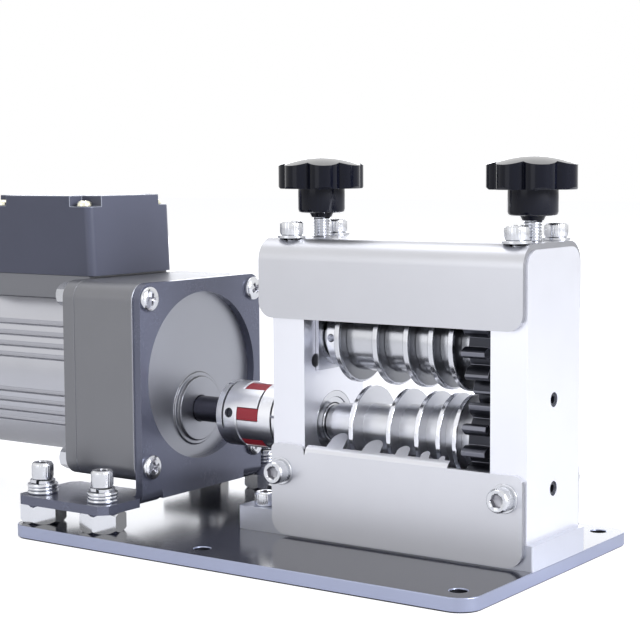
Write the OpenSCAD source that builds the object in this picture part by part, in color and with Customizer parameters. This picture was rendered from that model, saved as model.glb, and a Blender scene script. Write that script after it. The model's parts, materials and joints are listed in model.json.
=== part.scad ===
// Bench-top powered wire stripping machine.
// A gear motor on the left drives a grooved feed roller through a jaw coupling.
// The feed roller turns the blade roller above it through a pair of equal gears.
// Two star knobs raise and lower the blade roller.
// X runs along the shafts, Y towards the back, Z up. Units are millimetres.

/* [Base plate] */
// Thickness of the base plate
base_t = 6; // [4:0.5:12]
// Radius of the base plate's corners
base_r = 10; // [3:1:20]
// Base plate showing beyond the motor foot at the left
base_margin_left = 1; // [1:1:30]
// Base plate showing in front of the motor feet
base_margin_front = 3.5; // [1:0.5:30]
// Base plate showing behind the motor feet
base_margin_back = 0.5; // [0:0.5:30]
// Diameter of the four bench holes
bench_hole_d = 7; // [4:0.1:9]
// Distance of the bench holes from the plate's right, front and back edges
bench_inset = 11; // [8:0.5:16]
// Pitch of the bench holes along the plate
bench_pitch = 125; // [100:1:140]

/* [Motor foot bracket] */
// Thickness of the bracket's sheet
bracket_t = 4; // [3:0.5:5]
// How far the bracket's upright stays inside the gear head's sides
bracket_inset = 1; // [-1:0.5:3]
// Radius of the upright's upper corners
bracket_r = 7; // [2:0.5:8]
// Diameter of the round opening in the upright
bracket_hole_d = 78; // [60:1:79]
// Length of each foot along the machine
foot_l = 54; // [50:1:60]
// Distance from the shaft's plane to the outer edge of each foot
foot_reach = 70; // [68:1:80]
// Distance from the shaft's plane to the inner edge of each foot
foot_inner = 30; // [26:1:36]
// Chamfer on the outer corners of each foot
foot_chamfer = 3.5; // [2:0.5:9]
// Distance of the foot bolts from the outer edge of each foot
foot_bolt_edge = 10; // [8:0.5:12]
// Distance of the rear foot bolt from the bracket's face
foot_bolt_far = 46; // [43:0.5:47]
// Distance of the near foot bolt from the bracket's face
foot_bolt_near = 9.5; // [8:0.5:14]

/* [Fasteners] */
// Thread diameter of the cap screws
m6_d = 6; // [5:1:6]
// Head diameter of the cap screws
m6_head_d = 10; // [9:0.5:11]
// Head height of the cap screws
m6_head_h = 6; // [5:0.5:8]
// Diameter of the flat washers under the foot bolts
washer_d = 14; // [12:0.5:16]
// Thickness of one flat washer
washer_t = 1.6; // [1:0.2:2]
// Number of flat washers under each foot bolt
washer_n = 3; // [1:1:4]
// Thickness of a spring washer
spring_washer_t = 1.8; // [1:0.2:2.4]
// Head height of the foot bolts
foot_head_h = 7.6; // [6:0.2:8]
// Size across flats of the spacer nuts under the feet
spacer_af = 18; // [16:1:19]
// Height of the spacer nuts
spacer_h = 9; // [8:0.2:14]
// Clearance of a screw in its hole, all round
screw_gap = 0.2; // [0.1:0.05:0.4]

/* [Gear head] */
// Side of the square gear head
head_w = 90; // [88:1:96]
// Corner radius of the gear head
head_r = 8; // [3:1:12]
// Length of the gear head's housing
head_l = 35; // [30:1:50]
// Height of the gear head's centre above the base plate
head_z = 64; // [62:1:70]
// How far the output shaft lies below the gear head's centre
shaft_drop = 16; // [10:1:18]
// Distance between neighbouring gear head screws
head_pitch = 76; // [74:1:78]
// Diameter of the gear head's raised ring
boss_d = 34; // [32:1:40]
// Diameter of the smaller ring on it
boss_top_d = 30; // [26:1:32]
// Diameter of the output shaft and of the feed shaft
shaft_d = 12; // [10:1:14]

/* [Motor] */
// Thickness of the motor's square front flange
flange_t = 7; // [5:1:10]
// Outer diameter of the ribbed housing
motor_d = 84; // [80:1:88]
// Wall of the ribbed housing between its grooves
motor_wall = 5.5; // [5:0.5:7]
// Length of the ribbed housing
motor_l = 102; // [96:1:130]
// Width of one cooling groove
groove_w = 2.4; // [1.5:0.1:3]
// Depth of one cooling groove
groove_depth = 3.4; // [2:0.2:3.6]
// Pitch of the cooling grooves
groove_pitch = 5; // [4:0.5:5.5]
// Height of the first groove above the motor's centre
groove_start = 8.4; // [7:0.2:10]
// Number of grooves in each group
groove_n = 4; // [2:1:5]
// Length of the rear end cap
rear_cap_l = 12; // [8:1:20]
// Length of the fan cover
fan_cover_l = 32; // [28:1:40]
// Wall of the fan cover
fan_cover_t = 1.6; // [1:0.2:3]
// Diameter of the motor's own shaft
rotor_shaft_d = 10; // [8:1:12]
// Gap between rotor and stator, all round
air_gap = 0.5; // [0.3:0.1:1]

/* [Terminal box] */
// Length of the terminal box along the motor, at its bottom
box_l = 70; // [50:1:80]
// Depth of the terminal box
box_d = 58; // [40:0.2:60]
// How far the terminal box's middle lies behind the shafts' plane
box_offset = 1.9; // [0:0.1:4]
// How far each end of the box leans in, from its bottom to the lid's top
box_draft = 1.7; // [0.5:0.1:3]
// Radius of the box's upright corners
box_r = 4; // [2:0.5:5]
// Height of the terminal box under its lid
box_h = 24; // [18:1:34]
// Height of the lid
lid_h = 13.4; // [10:0.2:16]
// How far the lid's corner notches drop below its top
notch_h = 5; // [3:0.5:8]
// Length of a corner notch along the box
notch_l = 14; // [11:0.5:16]
// Depth of a corner notch from front to back
notch_w = 8.5; // [8:0.5:12]
// Distance of the terminal box behind the gear head's back
box_setback = 4.3; // [1:0.1:20]
// Thickness of the saddle above the housing's top
saddle_t = 4; // [3:0.2:8]

/* [Jaw coupling] */
// Outer diameter of the coupling
coupling_d = 30; // [28:1:34]
// Distance of the coupling from the bracket's face
coupling_x = 19; // [16:0.5:20]
// Length of one hub without its jaws
hub_l = 11.5; // [10:0.5:12]
// Length of the jaws and the spider between the hubs
jaw_l = 12; // [10:1:14]
// Angle at which the coupling stands at rest
coupling_turn = 22; // [0:1:60]
// Angle of one spider leg
leg_angle = 22; // [16:1:28]
// Diameter of the spider's open middle
spider_hole_d = 9; // [6:1:12]
// Clearance between pieces that slide into each other
slip = 0.05; // [0.03:0.01:0.1]

/* [Stripping head frame] */
// Distance between the bracket's face and the bed plate's left end
bed_x = 38; // [37:1:42]
// Length of the bed plate
bed_l = 147; // [146:1:160]
// Thickness of the bed plate
bed_t = 10.5; // [8:0.5:16]
// Depth of the bed plate and the side plates
frame_d = 46; // [44:1:54]
// Thickness of each side plate
plate_t = 16.5; // [15:0.5:20]
// Height of the side plates
plate_h = 117; // [115:1:125]
// Bed plate showing to the left of the left side plate
bed_margin_left = 20; // [18:1:24]
// Bed plate showing to the right of the right side plate
bed_margin_right = 3; // [2:1:8]

/* [Covers] */
// Thickness of the two sheet covers
sheet_t = 2.3; // [1.5:0.1:3]
// Height of the upper cover's lower edge above the base plate
upper_z = 95.5; // [92:0.5:100]
// How far the upper cover passes the left side plate
upper_left = 6; // [2:1:9]
// How far the upper cover stops short of the right side plate's face
upper_right = 1; // [0:0.5:4]
// Outer radius of the upper cover's bends
bend_r = 9.5; // [6:0.5:12]
// Radius of the covers' corners
cover_r = 7; // [3:0.5:9]
// Height of the lower cover's comb edge above the base plate
comb_z = 41; // [39:0.5:43]
// Height of the lower cover in front of the gears
gear_guard_z = 38.4; // [34:0.2:39]
// Height of the lower cover's bottom edge above the base plate
lower_gap = 1; // [0.5:0.5:3]
// Height of the lower cover's screws
lower_screw_z = 29; // [24:1:32]
// Distance of the left cover screw from the lower cover's end
lower_inset_left = 5.5; // [5:0.5:8]
// Distance of the right cover screw from the lower cover's end
lower_inset_right = 7.7; // [6:0.1:10]
// Distance of the upper cover's left screws from the left side plate's inner face
cover_screw_left = 10.5; // [8:0.5:11]
// Distance of the upper cover's screws from the middle of a side plate
cover_screw_y = 17; // [15:0.5:18]
// Slope of the comb's fingers
comb_slope = 33; // [10:1:40]

/* [Rollers] */
// Diameter of the blade discs
disc_d = 40; // [38:0.5:41]
// Thickness of the blade discs
disc_t = 3; // [2:0.2:4]
// Diameter of the sleeves between the discs
sleeve_d = 29; // [24:1:30]
// Diameter of the feed roller's flanges
ridge_d = 36; // [34:0.5:36.5]
// Thickness of the feed roller's flanges
ridge_t = 2.4; // [1.6:0.2:2.8]
// Width of each next groove as a share of the one before
groove_ratio = 0.69; // [0.65:0.01:0.9]
// Depth of the deepest groove
groove_max_depth = 9; // [7:0.5:10]
// How much shallower each next groove is
groove_depth_step = 1; // [0.5:0.1:1.2]
// Distance of the first blade disc from the feed roller's left end
disc_left = 9.1; // [7:0.1:10]
// Distance of the last blade disc's left face from the gears
disc_right = 7.8; // [6:0.1:9]
// Each next distance between blade discs as a share of the one before
disc_ratio = 0.79; // [0.75:0.01:0.9]
// Number of blade discs
disc_n = 5; // [3:1:5]
// Distance of the feed roller from the left side plate
roller_left = 4; // [3:0.5:8]
// Length of the feed roller's plain end beside its gear
roller_end = 4.5; // [0.5:0.5:5]
// Width of the first groove, left of the first flange
groove_0_w = 15; // [12:0.5:16]
// Diameter of the blade shaft between its ends
blade_shaft_d = 15; // [14:1:18]
// Diameter of the blade shaft's ends
blade_end_d = 10; // [10:1:12]

/* [Gears] */
// Gear module
gear_m = 3; // [2.75:0.25:3]
// Number of teeth on each gear
gear_n = 13; // [13:1:14]
// Face width of the gears
gear_w = 11; // [10:0.5:13]
// Gap between the gears and the right side plate
gear_side_gap = 3.2; // [1.8:0.1:3.5]
// Backlash at the pitch circle
backlash = 0.3; // [0.2:0.05:0.5]
// Pressure angle of the teeth
pressure_angle = 20; // [18:1:22]
// Angle at which the feed gear stands at rest
gear_turn = 16; // [0:1:27]

/* [Bearings and sliding blocks] */
// Outer diameter of the feed shaft's bearings
low_brg_d = 28; // [26:1:30]
// Outer diameter of the blade shaft's bearings
up_brg_d = 26; // [24:1:27]
// Width of all bearings
brg_w = 8; // [6:0.5:9]
// Width of the sliding blocks
block_w = 29; // [28:0.5:32]
// Height of a sliding block above the blade shaft
block_top = 17; // [15:0.5:19]
// How deep the blocks sit in the side plates
pocket_depth = 12; // [11:0.5:13]
// How far the blocks stand out of the side plates
block_out = 1.7; // [1:0.1:2]
// Running clearance of the blocks in their guides
guide_gap = 0.15; // [0.1:0.05:0.3]
// Travel of the blade roller
lift = 4; // [2:0.5:5]
// Diameter of the relief holes at the sides of the guides
relief_d = 6; // [4:0.5:7]
// Outer diameter of the lifting springs
spring_d = 6; // [5:0.5:6.5]
// Wire diameter of the lifting springs
spring_wire = 0.9; // [0.6:0.1:1]
// Coils in each lifting spring
spring_coils = 5; // [3:1:6]
// Distance of the springs from the middle of a block
spring_y = 9.5; // [9:0.5:11]
// Length of each spring with the roller down
spring_l = 10; // [8:0.5:10.5]

/* [Knobs] */
// Thread diameter of the adjusting screws
adjust_d = 8; // [6:1:8]
// Diameter of the star knobs over their lobes
knob_d = 38; // [32:1:40]
// Diameter of a lobe
lobe_d = 14; // [12:0.5:15]
// Number of lobes
lobe_n = 7; // [5:1:8]
// Height of the star part of a knob
star_h = 13.9; // [12:0.1:18]
// Height of a lobe at its tip
lobe_h = 10; // [7:0.5:11]
// Diameter of the knob's hub
knob_hub_d = 20.5; // [17:0.5:22]
// Height of the knob's hub
knob_hub_h = 10.5; // [8:0.5:14]
// Adjusting screw showing between upper cover and knob with the roller down
screw_show = 10.6; // [7:0.1:14]

// Distance of the adjusting screws from the side plates' inner faces
adjust_inset = 6.5; // [6:0.1:7]

/* [Hidden] */
$fn = 64;

// Clearance of a running piece from what it passes
run_gap = 0.3;
// Gap between a part that rests on its seat and the seat
seat_gap = 0.1;
// Chamfer on small turned edges
edge = 0.4;
// A cut runs this far past the face that it opens
past = 1;

// Places along the machine, from the bracket's face, and above the base plate
base_x0 = -foot_l - base_margin_left;
base_x1 = bed_x + bed_l;
base_y0 = -foot_reach - base_margin_front;
base_y1 = foot_reach + base_margin_back;
head_x = -bracket_t;
flange_x = head_x - head_l;
motor_x = flange_x - flange_t;
cap_x = motor_x - motor_l;
cap_rim = rear_cap_l * 2 / 3;
cover_x = cap_x - cap_rim;
cover_end = cover_x - fan_cover_l;
motor_r = motor_d / 2;
motor_bore = motor_d - 2 * motor_wall;
bracket_w = head_w - 2 * bracket_inset;
shaft_z = head_z - shaft_drop;
axis_gap = gear_m * gear_n;
blade_z = shaft_z + axis_gap;
plate_lx0 = bed_x + bed_margin_left;
plate_lx1 = plate_lx0 + plate_t;
plate_rx1 = base_x1 - bed_margin_right;
plate_rx0 = plate_rx1 - plate_t;
plate_lm = plate_lx0 + plate_t / 2;
plate_rm = plate_rx1 - plate_t / 2;
plate_top = bed_t + plate_h;
frame_y = frame_d / 2;

// Foot bolts: [x, y] of each
foot_y = foot_reach - foot_bolt_edge;
foot_bolts_at = [for (x = [-foot_bolt_far, -foot_bolt_near], y = [-foot_y, foot_y]) [x, y]];
foot_top = spacer_h + bracket_t;
washers_top = foot_top + washer_n * washer_t;
spring_top = washers_top + spring_washer_t;
hole_r = m6_d / 2 + screw_gap;

// Coupling
hub_a_x1 = coupling_x + hub_l;
hub_b_x0 = hub_a_x1 + jaw_l;
coupling_x1 = hub_b_x0 + hub_l;
jaw_inner_r = coupling_d * 0.28;
shaft_out = hub_a_x1 - 1;

// Rollers along the shafts
gear_x = plate_rx0 - gear_side_gap - gear_w;
gear_x1 = gear_x + gear_w;
roller_x0 = plate_lx1 + roller_left;
grooves_w = gear_x - roller_end - roller_x0 - disc_n * ridge_t - groove_0_w;
groove_1_w = grooves_w * (1 - groove_ratio) / (1 - pow(groove_ratio, disc_n - 1));
function groove_w(k) = k == 0 ? groove_0_w : groove_1_w * pow(groove_ratio, k - 1);
function ridge_x(k) = k < 0 ? roller_x0 - ridge_t : ridge_x(k - 1) + ridge_t + groove_w(k);
function groove_r(k) = ridge_d / 2 - groove_max_depth + k * groove_depth_step;
discs_w = gear_x - disc_right - roller_x0 - disc_left;
disc_1_pitch = discs_w * (1 - disc_ratio) / (1 - pow(disc_ratio, disc_n - 1));
function disc_x(k) =
    k == 0 ? roller_x0 + disc_left : disc_x(k - 1) + disc_1_pitch * pow(disc_ratio, k - 1);
collar_x = roller_x0 + 1.5;

// Sliding blocks
block_y = block_w / 2;
block_z0 = blade_z - block_y;
block_z1 = blade_z + block_top;
block_lx0 = plate_lx1 - pocket_depth + guide_gap;
block_lx1 = plate_lx1 + block_out;
cover_screws_x = [plate_lx1 - cover_screw_left, plate_rm];
adjust_lx = plate_lx1 - adjust_inset;
adjust_rx = plate_rx0 + adjust_inset;
tip_depth = block_top - up_brg_d / 2 - 1;
cover_top = plate_top + sheet_t;
knob_z = cover_top + screw_show;
star_z = knob_z + knob_hub_h;

// Covers
lower_x0 = plate_lx0 + 0.2;
lower_x1 = plate_rx1 - 0.8;
lower_screws_x = [lower_x0 + lower_inset_left, lower_x1 - lower_inset_right];
comb_x0 = plate_lx1 + 1.5;
comb_x1 = ridge_x(disc_n - 1) + ridge_t;
comb_bend = 3.8;
comb_lip = comb_bend - 1;
finger_step = 1.5;

// The origin is the middle of the base plate's underside
module place() {
    translate([-(base_x0 + base_x1) / 2, -(base_y0 + base_y1) / 2, base_t]) children();
}

// A rectangle with round corners, given by its lowest and highest corners
module rounded(x0, y0, x1, y1, r) {
    translate([x0 + r, y0]) square([x1 - x0 - 2 * r, y1 - y0]);
    translate([x0, y0 + r]) square([x1 - x0, y1 - y0 - 2 * r]);
    for (x = [x0 + r, x1 - r], y = [y0 + r, y1 - r]) translate([x, y]) circle(r);
}

// Extrudes an outline drawn in Y and Z along X, from x0 to x1
module along_x(x0, x1) {
    translate([x0, 0, 0]) rotate([90, 0, 90]) linear_extrude(x1 - x0) children();
}

// Extrudes an outline drawn in X and Z along Y, from y0 to y1
module along_y(y0, y1) {
    translate([0, y1, 0]) rotate([90, 0, 0]) linear_extrude(y1 - y0) children();
}

// A round bar along X
module bar(x0, x1, r, z = 0, y = 0) {
    translate([x0, y, z]) rotate([0, 90, 0]) cylinder(h = x1 - x0, r = r);
}

// A round bar along Z
module post(z0, z1, r, x = 0, y = 0) {
    translate([x, y, z0]) cylinder(h = z1 - z0, r = r);
}

// A turned piece along X from points [radius, x]
module turned(points, z = 0) {
    translate([0, 0, z]) rotate([0, 90, 0]) rotate_extrude() polygon(points);
}

// A flat ring along X with broken outer edges
module ring(x0, x1, r_out, r_in, z = 0) {
    turned([
        [r_in, x0], [r_out - edge, x0], [r_out, x0 + edge],
        [r_out, x1 - edge], [r_out - edge, x1], [r_in, x1]
    ], z);
}

// Mirrors what it draws to both sides of the shafts' plane
module both_sides() {
    children();
    mirror([0, 1, 0]) children();
}

// A cap screw standing on z = 0 with its shank pointing down
module cap_screw(shank, head_h = m6_head_h, head_d = m6_head_d, d = m6_d) {
    difference() {
        rotate_extrude() polygon([
            [0, -shank], [d / 2 - edge, -shank], [d / 2, edge - shank], [d / 2, 0],
            [head_d / 2, 0], [head_d / 2, head_h - edge], [head_d / 2 - edge, head_h], [0, head_h]
        ]);
        translate([0, 0, head_h - d / 2]) cylinder(h = d, r = d * 0.48, $fn = 6);
    }
}

// A flat washer standing on z = 0
module washer(d, t, hole = m6_d + 2 * screw_gap) {
    difference() {
        cylinder(h = t, d = d);
        translate([0, 0, -past]) cylinder(h = t + 2 * past, d = hole);
    }
}

// A hexagon nut standing on z = 0 with chamfered corners
module hex_nut(af, h, hole, both = true) {
    corner = af / sqrt(3);
    drop = corner - af / 2;
    difference() {
        intersection() {
            cylinder(h = h, r = corner, $fn = 6);
            rotate_extrude() polygon([
                [0, 0], [both ? af / 2 : corner, 0], [corner, both ? drop : 0],
                [corner, h - drop], [af / 2, h], [0, h]
            ]);
        }
        translate([0, 0, -past]) cylinder(h = h + 2 * past, d = hole);
    }
}

// Base plate with its bench holes and the holes for foot and bed screws
module base_plate() {
    bench_x = base_x1 - bench_inset;
    color("slategray") place() difference() {
        translate([0, 0, -base_t]) linear_extrude(base_t) difference() {
            rounded(base_x0, base_y0, base_x1, base_y1, base_r);
            for (x = [bench_x, bench_x - bench_pitch], y = [base_y0 + bench_inset, base_y1 - bench_inset])
                translate([x, y]) circle(d = bench_hole_d);
            for (at = foot_bolts_at) translate(at) circle(hole_r);
            for (at = bed_caps_at) translate(at) circle(hole_r);
        }
        for (at = bed_screws_at) translate([at[0], at[1], -base_t]) sunk_hole();
    }
}

// Screws up through the base plate and bed plate into the side plates
bed_screws_at = [for (x = [plate_lm, plate_rm], y = [-frame_y * 0.65, frame_y * 0.65]) [x, y]];
// Screws down through the bed plate's left end
bed_caps_at = [for (y = [-frame_y * 0.7, frame_y * 0.7]) [bed_x + bed_margin_left / 2, y]];
bed_screw_reach = 12;

module sunk_hole() {
    top = base_t + bed_t + bed_screw_reach + past;
    translate([0, 0, -past]) cylinder(h = top + past, r = hole_r);
    translate([0, 0, -past]) cylinder(h = m6_d / 2 + past, r1 = m6_d + past, r2 = m6_d / 2);
}

module bed_screws() {
    head = m6_d * 0.95;
    color("silver") place() for (at = bed_screws_at) translate([at[0], at[1], -base_t])
        rotate_extrude() polygon([
            [0, 0.2], [head, 0.2], [m6_d / 2, head - m6_d / 2 + 0.2],
            [m6_d / 2, base_t + bed_t + bed_screw_reach], [0, base_t + bed_t + bed_screw_reach]
        ]);
}

// Bed plate that carries the stripping head
module bed_plate() {
    color("gainsboro") place() difference() {
        linear_extrude(bed_t) difference() {
            rounded(bed_x, -frame_y, base_x1, frame_y, 1);
            for (at = concat(bed_caps_at, bed_screws_at)) translate(at) circle(hole_r);
            translate(stop_at) circle(hole_r);
        }
    }
}

stop_at = [bed_x + bed_margin_left / 4, 0];

module bed_cap_screws() {
    color("silver") place() for (at = bed_caps_at)
        translate([at[0], at[1], bed_t]) cap_screw(bed_t + base_t - 0.5);
}

module bed_stop_screw() {
    color("dimgray") place() translate([stop_at[0], stop_at[1], bed_t]) cap_screw(bed_t - 0.5);
}

// Foot bracket: an upright with a round opening and two feet bent to the left
module motor_bracket() {
    top = head_z + head_w / 2;
    bend = bracket_t * 1.5;
    strip_rise = bend / 4;
    color("slategray") place() {
        along_x(-bracket_t, 0) difference() {
            union() {
                rounded(-bracket_w / 2, spacer_h + bend, bracket_w / 2, head_z, bend / 2);
                rounded(-bracket_w / 2, shaft_z - bracket_r, bracket_w / 2, top, bracket_r);
                translate([-foot_inner, spacer_h + strip_rise])
                    square([2 * foot_inner, bend + 3 - strip_rise]);
            }
            translate([0, head_z]) circle(d = bracket_hole_d);
            for (at = head_screws_at) translate(at) circle(hole_r);
        }
        both_sides() {
            along_y(foot_inner, bracket_w / 2) intersection() {
                difference() {
                    translate([-bend, spacer_h]) square([bend, bend + 3]);
                    translate([-bend, spacer_h + bend]) circle(bend - bracket_t);
                    translate([-bend - past, spacer_h + bend])
                        square([bend - bracket_t + past, bend]);
                }
                union() {
                    translate([-bend, spacer_h + bend]) circle(bend);
                    translate([-bend, spacer_h + bend]) square([bend, 3]);
                }
            }
            translate([0, 0, spacer_h]) linear_extrude(bracket_t) difference() {
                polygon([
                    [-bend, foot_inner], [-foot_l + foot_chamfer, foot_inner],
                    [-foot_l, foot_inner + foot_chamfer], [-foot_l, foot_reach - foot_chamfer],
                    [-foot_l + foot_chamfer, foot_reach], [-foot_chamfer, foot_reach],
                    [0, foot_reach - foot_chamfer], [0, bracket_w / 2 + 2],
                    [-bend / 2, bracket_w / 2 + past / 2], [-bend, bracket_w / 2 + past / 2]
                ]);
                for (x = [-foot_bolt_far, -foot_bolt_near]) translate([x, foot_y]) circle(hole_r);
            }
        }
    }
}

module foot_bolts() {
    color("silver") place() for (at = foot_bolts_at)
        translate([at[0], at[1], spring_top]) cap_screw(spring_top + base_t - 0.5, foot_head_h);
}

module foot_spring_washers() {
    color("silver") place() for (at = foot_bolts_at)
        translate([at[0], at[1], washers_top]) washer(m6_head_d + 1.5, spring_washer_t);
}

module foot_flat_washers() {
    color("silver") place() for (at = foot_bolts_at, k = [0:washer_n - 1])
        translate([at[0], at[1], foot_top + k * washer_t]) washer(washer_d, washer_t);
}

module spacer_nuts() {
    color("silver") place() for (at = foot_bolts_at)
        translate([at[0], at[1], 0]) rotate(-15) hex_nut(spacer_af, spacer_h, spacer_af * 0.57);
}

// Corner places of the gear head's screws, as [y, z]
head_screws_at = [for (y = [-1, 1], z = [-1, 1]) [y * head_pitch / 2, head_z + z * head_pitch / 2]];

module square_body(x0, x1) {
    along_x(x0, x1) difference() {
        rounded(-head_w / 2, head_z - head_w / 2, head_w / 2, head_z + head_w / 2, head_r);
        for (at = head_screws_at) translate(at) circle(hole_r);
    }
}

module gear_head() {
    bore_l = head_l - 8;
    boss_h = 1;
    boss_top_h = 2.6;
    color("gray") place() difference() {
        union() {
            square_body(flange_x, head_x);
            bar(head_x - past, head_x + boss_h, boss_d / 2, shaft_z);
            bar(head_x - past, head_x + boss_top_h, boss_top_d / 2, shaft_z);
        }
        bar(head_x - bore_l, past, shaft_d / 2 + slip, shaft_z);
        bar(flange_x - past, flange_x + head_l / 3, rotor_shaft_d / 2 + run_gap, head_z);
    }
}

module output_shaft() {
    bore_l = head_l - 8;
    color("dimgray") place() turned([
        [0, head_x - bore_l + 1], [shaft_d / 2, head_x - bore_l + 1],
        [shaft_d / 2, shaft_out - 1], [shaft_d / 2 - 1, shaft_out], [0, shaft_out]
    ], shaft_z);
}

// Pan head screws through bracket, gear head and motor flange
pan_d = 11.2;
pan_h = 2.8;
head_nut_h = 6;

module gear_head_screws() {
    tail = motor_x - head_nut_h - 0.5;
    color("silver") place() for (at = head_screws_at) translate([0, at[0], at[1]])
        turned([
            [0, tail], [m6_d / 2, tail], [m6_d / 2, 0], [pan_d / 2, 0], [pan_d / 2, pan_h * 0.35],
            [pan_d * 0.44, pan_h * 0.7], [pan_d * 0.3, pan_h * 0.93], [0, pan_h]
        ]);
}

module gear_head_nuts() {
    color("silver") place() for (at = head_screws_at)
        translate([motor_x - head_nut_h, at[0], at[1]]) rotate([0, 90, 0])
            hex_nut(10, head_nut_h, 2 * hole_r);
}

// Motor's square front flange
module motor_flange() {
    color("gray") place() difference() {
        square_body(motor_x, flange_x);
        bar(motor_x - past, flange_x + past, rotor_shaft_d / 2 + slip, head_z);
    }
}

// Ribbed aluminium housing: a round tube with cooling grooves along it
module motor_housing() {
    heights = [for (k = [0:groove_n - 1], side = [-1, 1]) side * (groove_start + k * groove_pitch)];
    color("silver") place() along_x(cap_x, motor_x) translate([0, head_z]) difference() {
        circle(motor_r, $fn = 120);
        circle(d = motor_bore);
        for (h = heights, side = [-1, 1])
            translate([side * sqrt(motor_r * motor_r - h * h), h])
                square([2 * groove_depth, groove_w], center = true);
    }
}

stator_r = motor_d * 0.29;
core_inset = 8;

module stator() {
    color("dimgray") place() difference() {
        bar(cap_x + core_inset, motor_x - core_inset, motor_bore / 2 - slip, head_z);
        bar(cap_x, motor_x, stator_r, head_z);
    }
}

module rotor() {
    tail = cover_end + fan_cover_t + 3;
    core_x0 = cap_x + core_inset + 2;
    core_x1 = motor_x - core_inset - 2;
    core_r = stator_r - air_gap;
    color("silver") place() turned([
        [0, tail], [rotor_shaft_d / 2, tail], [rotor_shaft_d / 2, core_x0], [core_r, core_x0],
        [core_r, core_x1], [rotor_shaft_d / 2, core_x1], [rotor_shaft_d / 2, flange_x + head_l / 4],
        [0, flange_x + head_l / 4]
    ], head_z);
}

fan_n = 7;
fan_gap = 6;
fan_r = motor_r - fan_gap;
fan_hub_r = rotor_shaft_d;
fan_blade_t = motor_d / 42;

module cooling_fan() {
    fan_x1 = cap_x - rear_cap_l - 3;
    fan_x0 = cover_end + fan_cover_t + fan_gap;
    color("dimgray") place() translate([0, 0, head_z]) difference() {
        union() {
            bar(fan_x0, fan_x1, fan_hub_r);
            bar(fan_x1 - fan_blade_t, fan_x1, fan_r * 0.6);
            for (k = [0:fan_n - 1]) rotate([k * 360 / fan_n, 0, 0])
                translate([fan_x0, -fan_blade_t / 2, fan_hub_r - past])
                    cube([fan_x1 - fan_x0, fan_blade_t, fan_r - fan_hub_r]);
        }
        bar(fan_x0 - past, fan_x1 + past, rotor_shaft_d / 2 + slip);
    }
}

// Rear cap: a rim that closes the housing and a spigot for the fan cover
cap_screws_n = 4;
cap_screws_r = motor_bore / 2 - 5;

module rear_cap() {
    color("silver") place() difference() {
        union() {
            bar(cover_x, cap_x, motor_r, head_z);
            bar(cap_x - rear_cap_l, cover_x + past, motor_r - fan_cover_t - slip, head_z);
        }
        bar(cap_x - rear_cap_l - past, cap_x + past, rotor_shaft_d / 2 + slip, head_z);
        translate([0, 0, head_z]) for (k = [0:cap_screws_n - 1])
            rotate([45 + k * 360 / cap_screws_n, 0, 0])
                bar(cap_x - rear_cap_l - past, cap_x + past, 2 + screw_gap, cap_screws_r);
    }
}

module rear_cap_screws() {
    color("silver") place() translate([0, 0, head_z]) for (k = [0:cap_screws_n - 1])
        rotate([45 + k * 360 / cap_screws_n, 0, 0]) translate([cap_x - rear_cap_l, 0, cap_screws_r])
            rotate([0, -90, 0]) cap_screw(rear_cap_l - 1, 2.4, 7, 4);
}

// Fan cover: a cup with slots in its end and three screws in its rim
slot_n = 12;
slot_w = 4;
slot_r0 = 12;
slot_r1 = motor_r - 10;
fan_screw_n = 3;
fan_screw_d = motor_d / 28;
fan_screw_x = cover_x - fan_screw_d * 2 / 3;

module fan_cover() {
    color("dimgray") place() difference() {
        bar(cover_end, cover_x, motor_r, head_z);
        bar(cover_end + fan_cover_t, cover_x + past, motor_r - fan_cover_t, head_z);
        translate([0, 0, head_z]) for (k = [0:slot_n - 1]) rotate([k * 360 / slot_n, 0, 0])
            along_x(cover_end - past, cover_end + fan_cover_t + past) {
                translate([slot_r0, -slot_w / 2]) square([slot_r1 - slot_r0, slot_w]);
                for (y = [slot_r0, slot_r1]) translate([y, 0]) circle(d = slot_w);
            }
        at_fan_screws() post(-2 * fan_cover_t, past, fan_screw_d / 2 + screw_gap);
    }
}

// Places what it draws on the fan cover's screw holes, with z = 0 on its outside
module at_fan_screws() {
    translate([0, 0, head_z]) for (k = [0:fan_screw_n - 1]) rotate([k * 360 / fan_screw_n, 0, 0])
        translate([fan_screw_x, 0, motor_r]) children();
}

module fan_cover_screws() {
    color("silver") place() at_fan_screws()
        cap_screw(fan_cover_t, fan_screw_d * 0.6, fan_screw_d * 1.8, fan_screw_d);
}

// Terminal box on top of the motor
box_x1 = flange_x - box_setback;
box_x0 = box_x1 - box_l;
box_xm = (box_x0 + box_x1) / 2;
box_z = head_z + motor_r + saddle_t;
box_top = box_z + box_h;
lid_top = box_top + lid_h;
box_wall = box_r;
lid_screw_x = box_l / 2 - notch_l * 0.6;
lid_screws_at = [for (x = [-lid_screw_x, lid_screw_x], y = [-1, 1])
    [box_xm + x, box_offset + y * (box_d - notch_w) / 2]];

module box_saddle() {
    low = head_z + motor_r * 2 / 3;
    inset = 1;
    lean = 3;
    color("gray") place() difference() {
        along_x(box_x0, motor_x - 0.5) translate([box_offset, 0]) polygon([
            [-box_d / 2 + inset + lean, low], [-box_d / 2 + inset, box_z],
            [box_d / 2 - inset, box_z], [box_d / 2 - inset - lean, low]
        ]);
        bar(box_x0 - past, motor_x + past, motor_r + slip, head_z);
    }
}

// The box's right end with its upright corners leaning in; it runs on past the left end
module box_end() {
    angle = atan(box_draft / (lid_top - box_z));
    height = lid_top - box_z + box_l / 8;
    translate([box_x1, box_offset, box_z]) rotate([0, -angle, 0]) translate([0, 0, -past])
        linear_extrude(height) rounded(-box_l - 3 * box_r, -box_d / 2, 0, box_d / 2, box_r);
}

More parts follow.
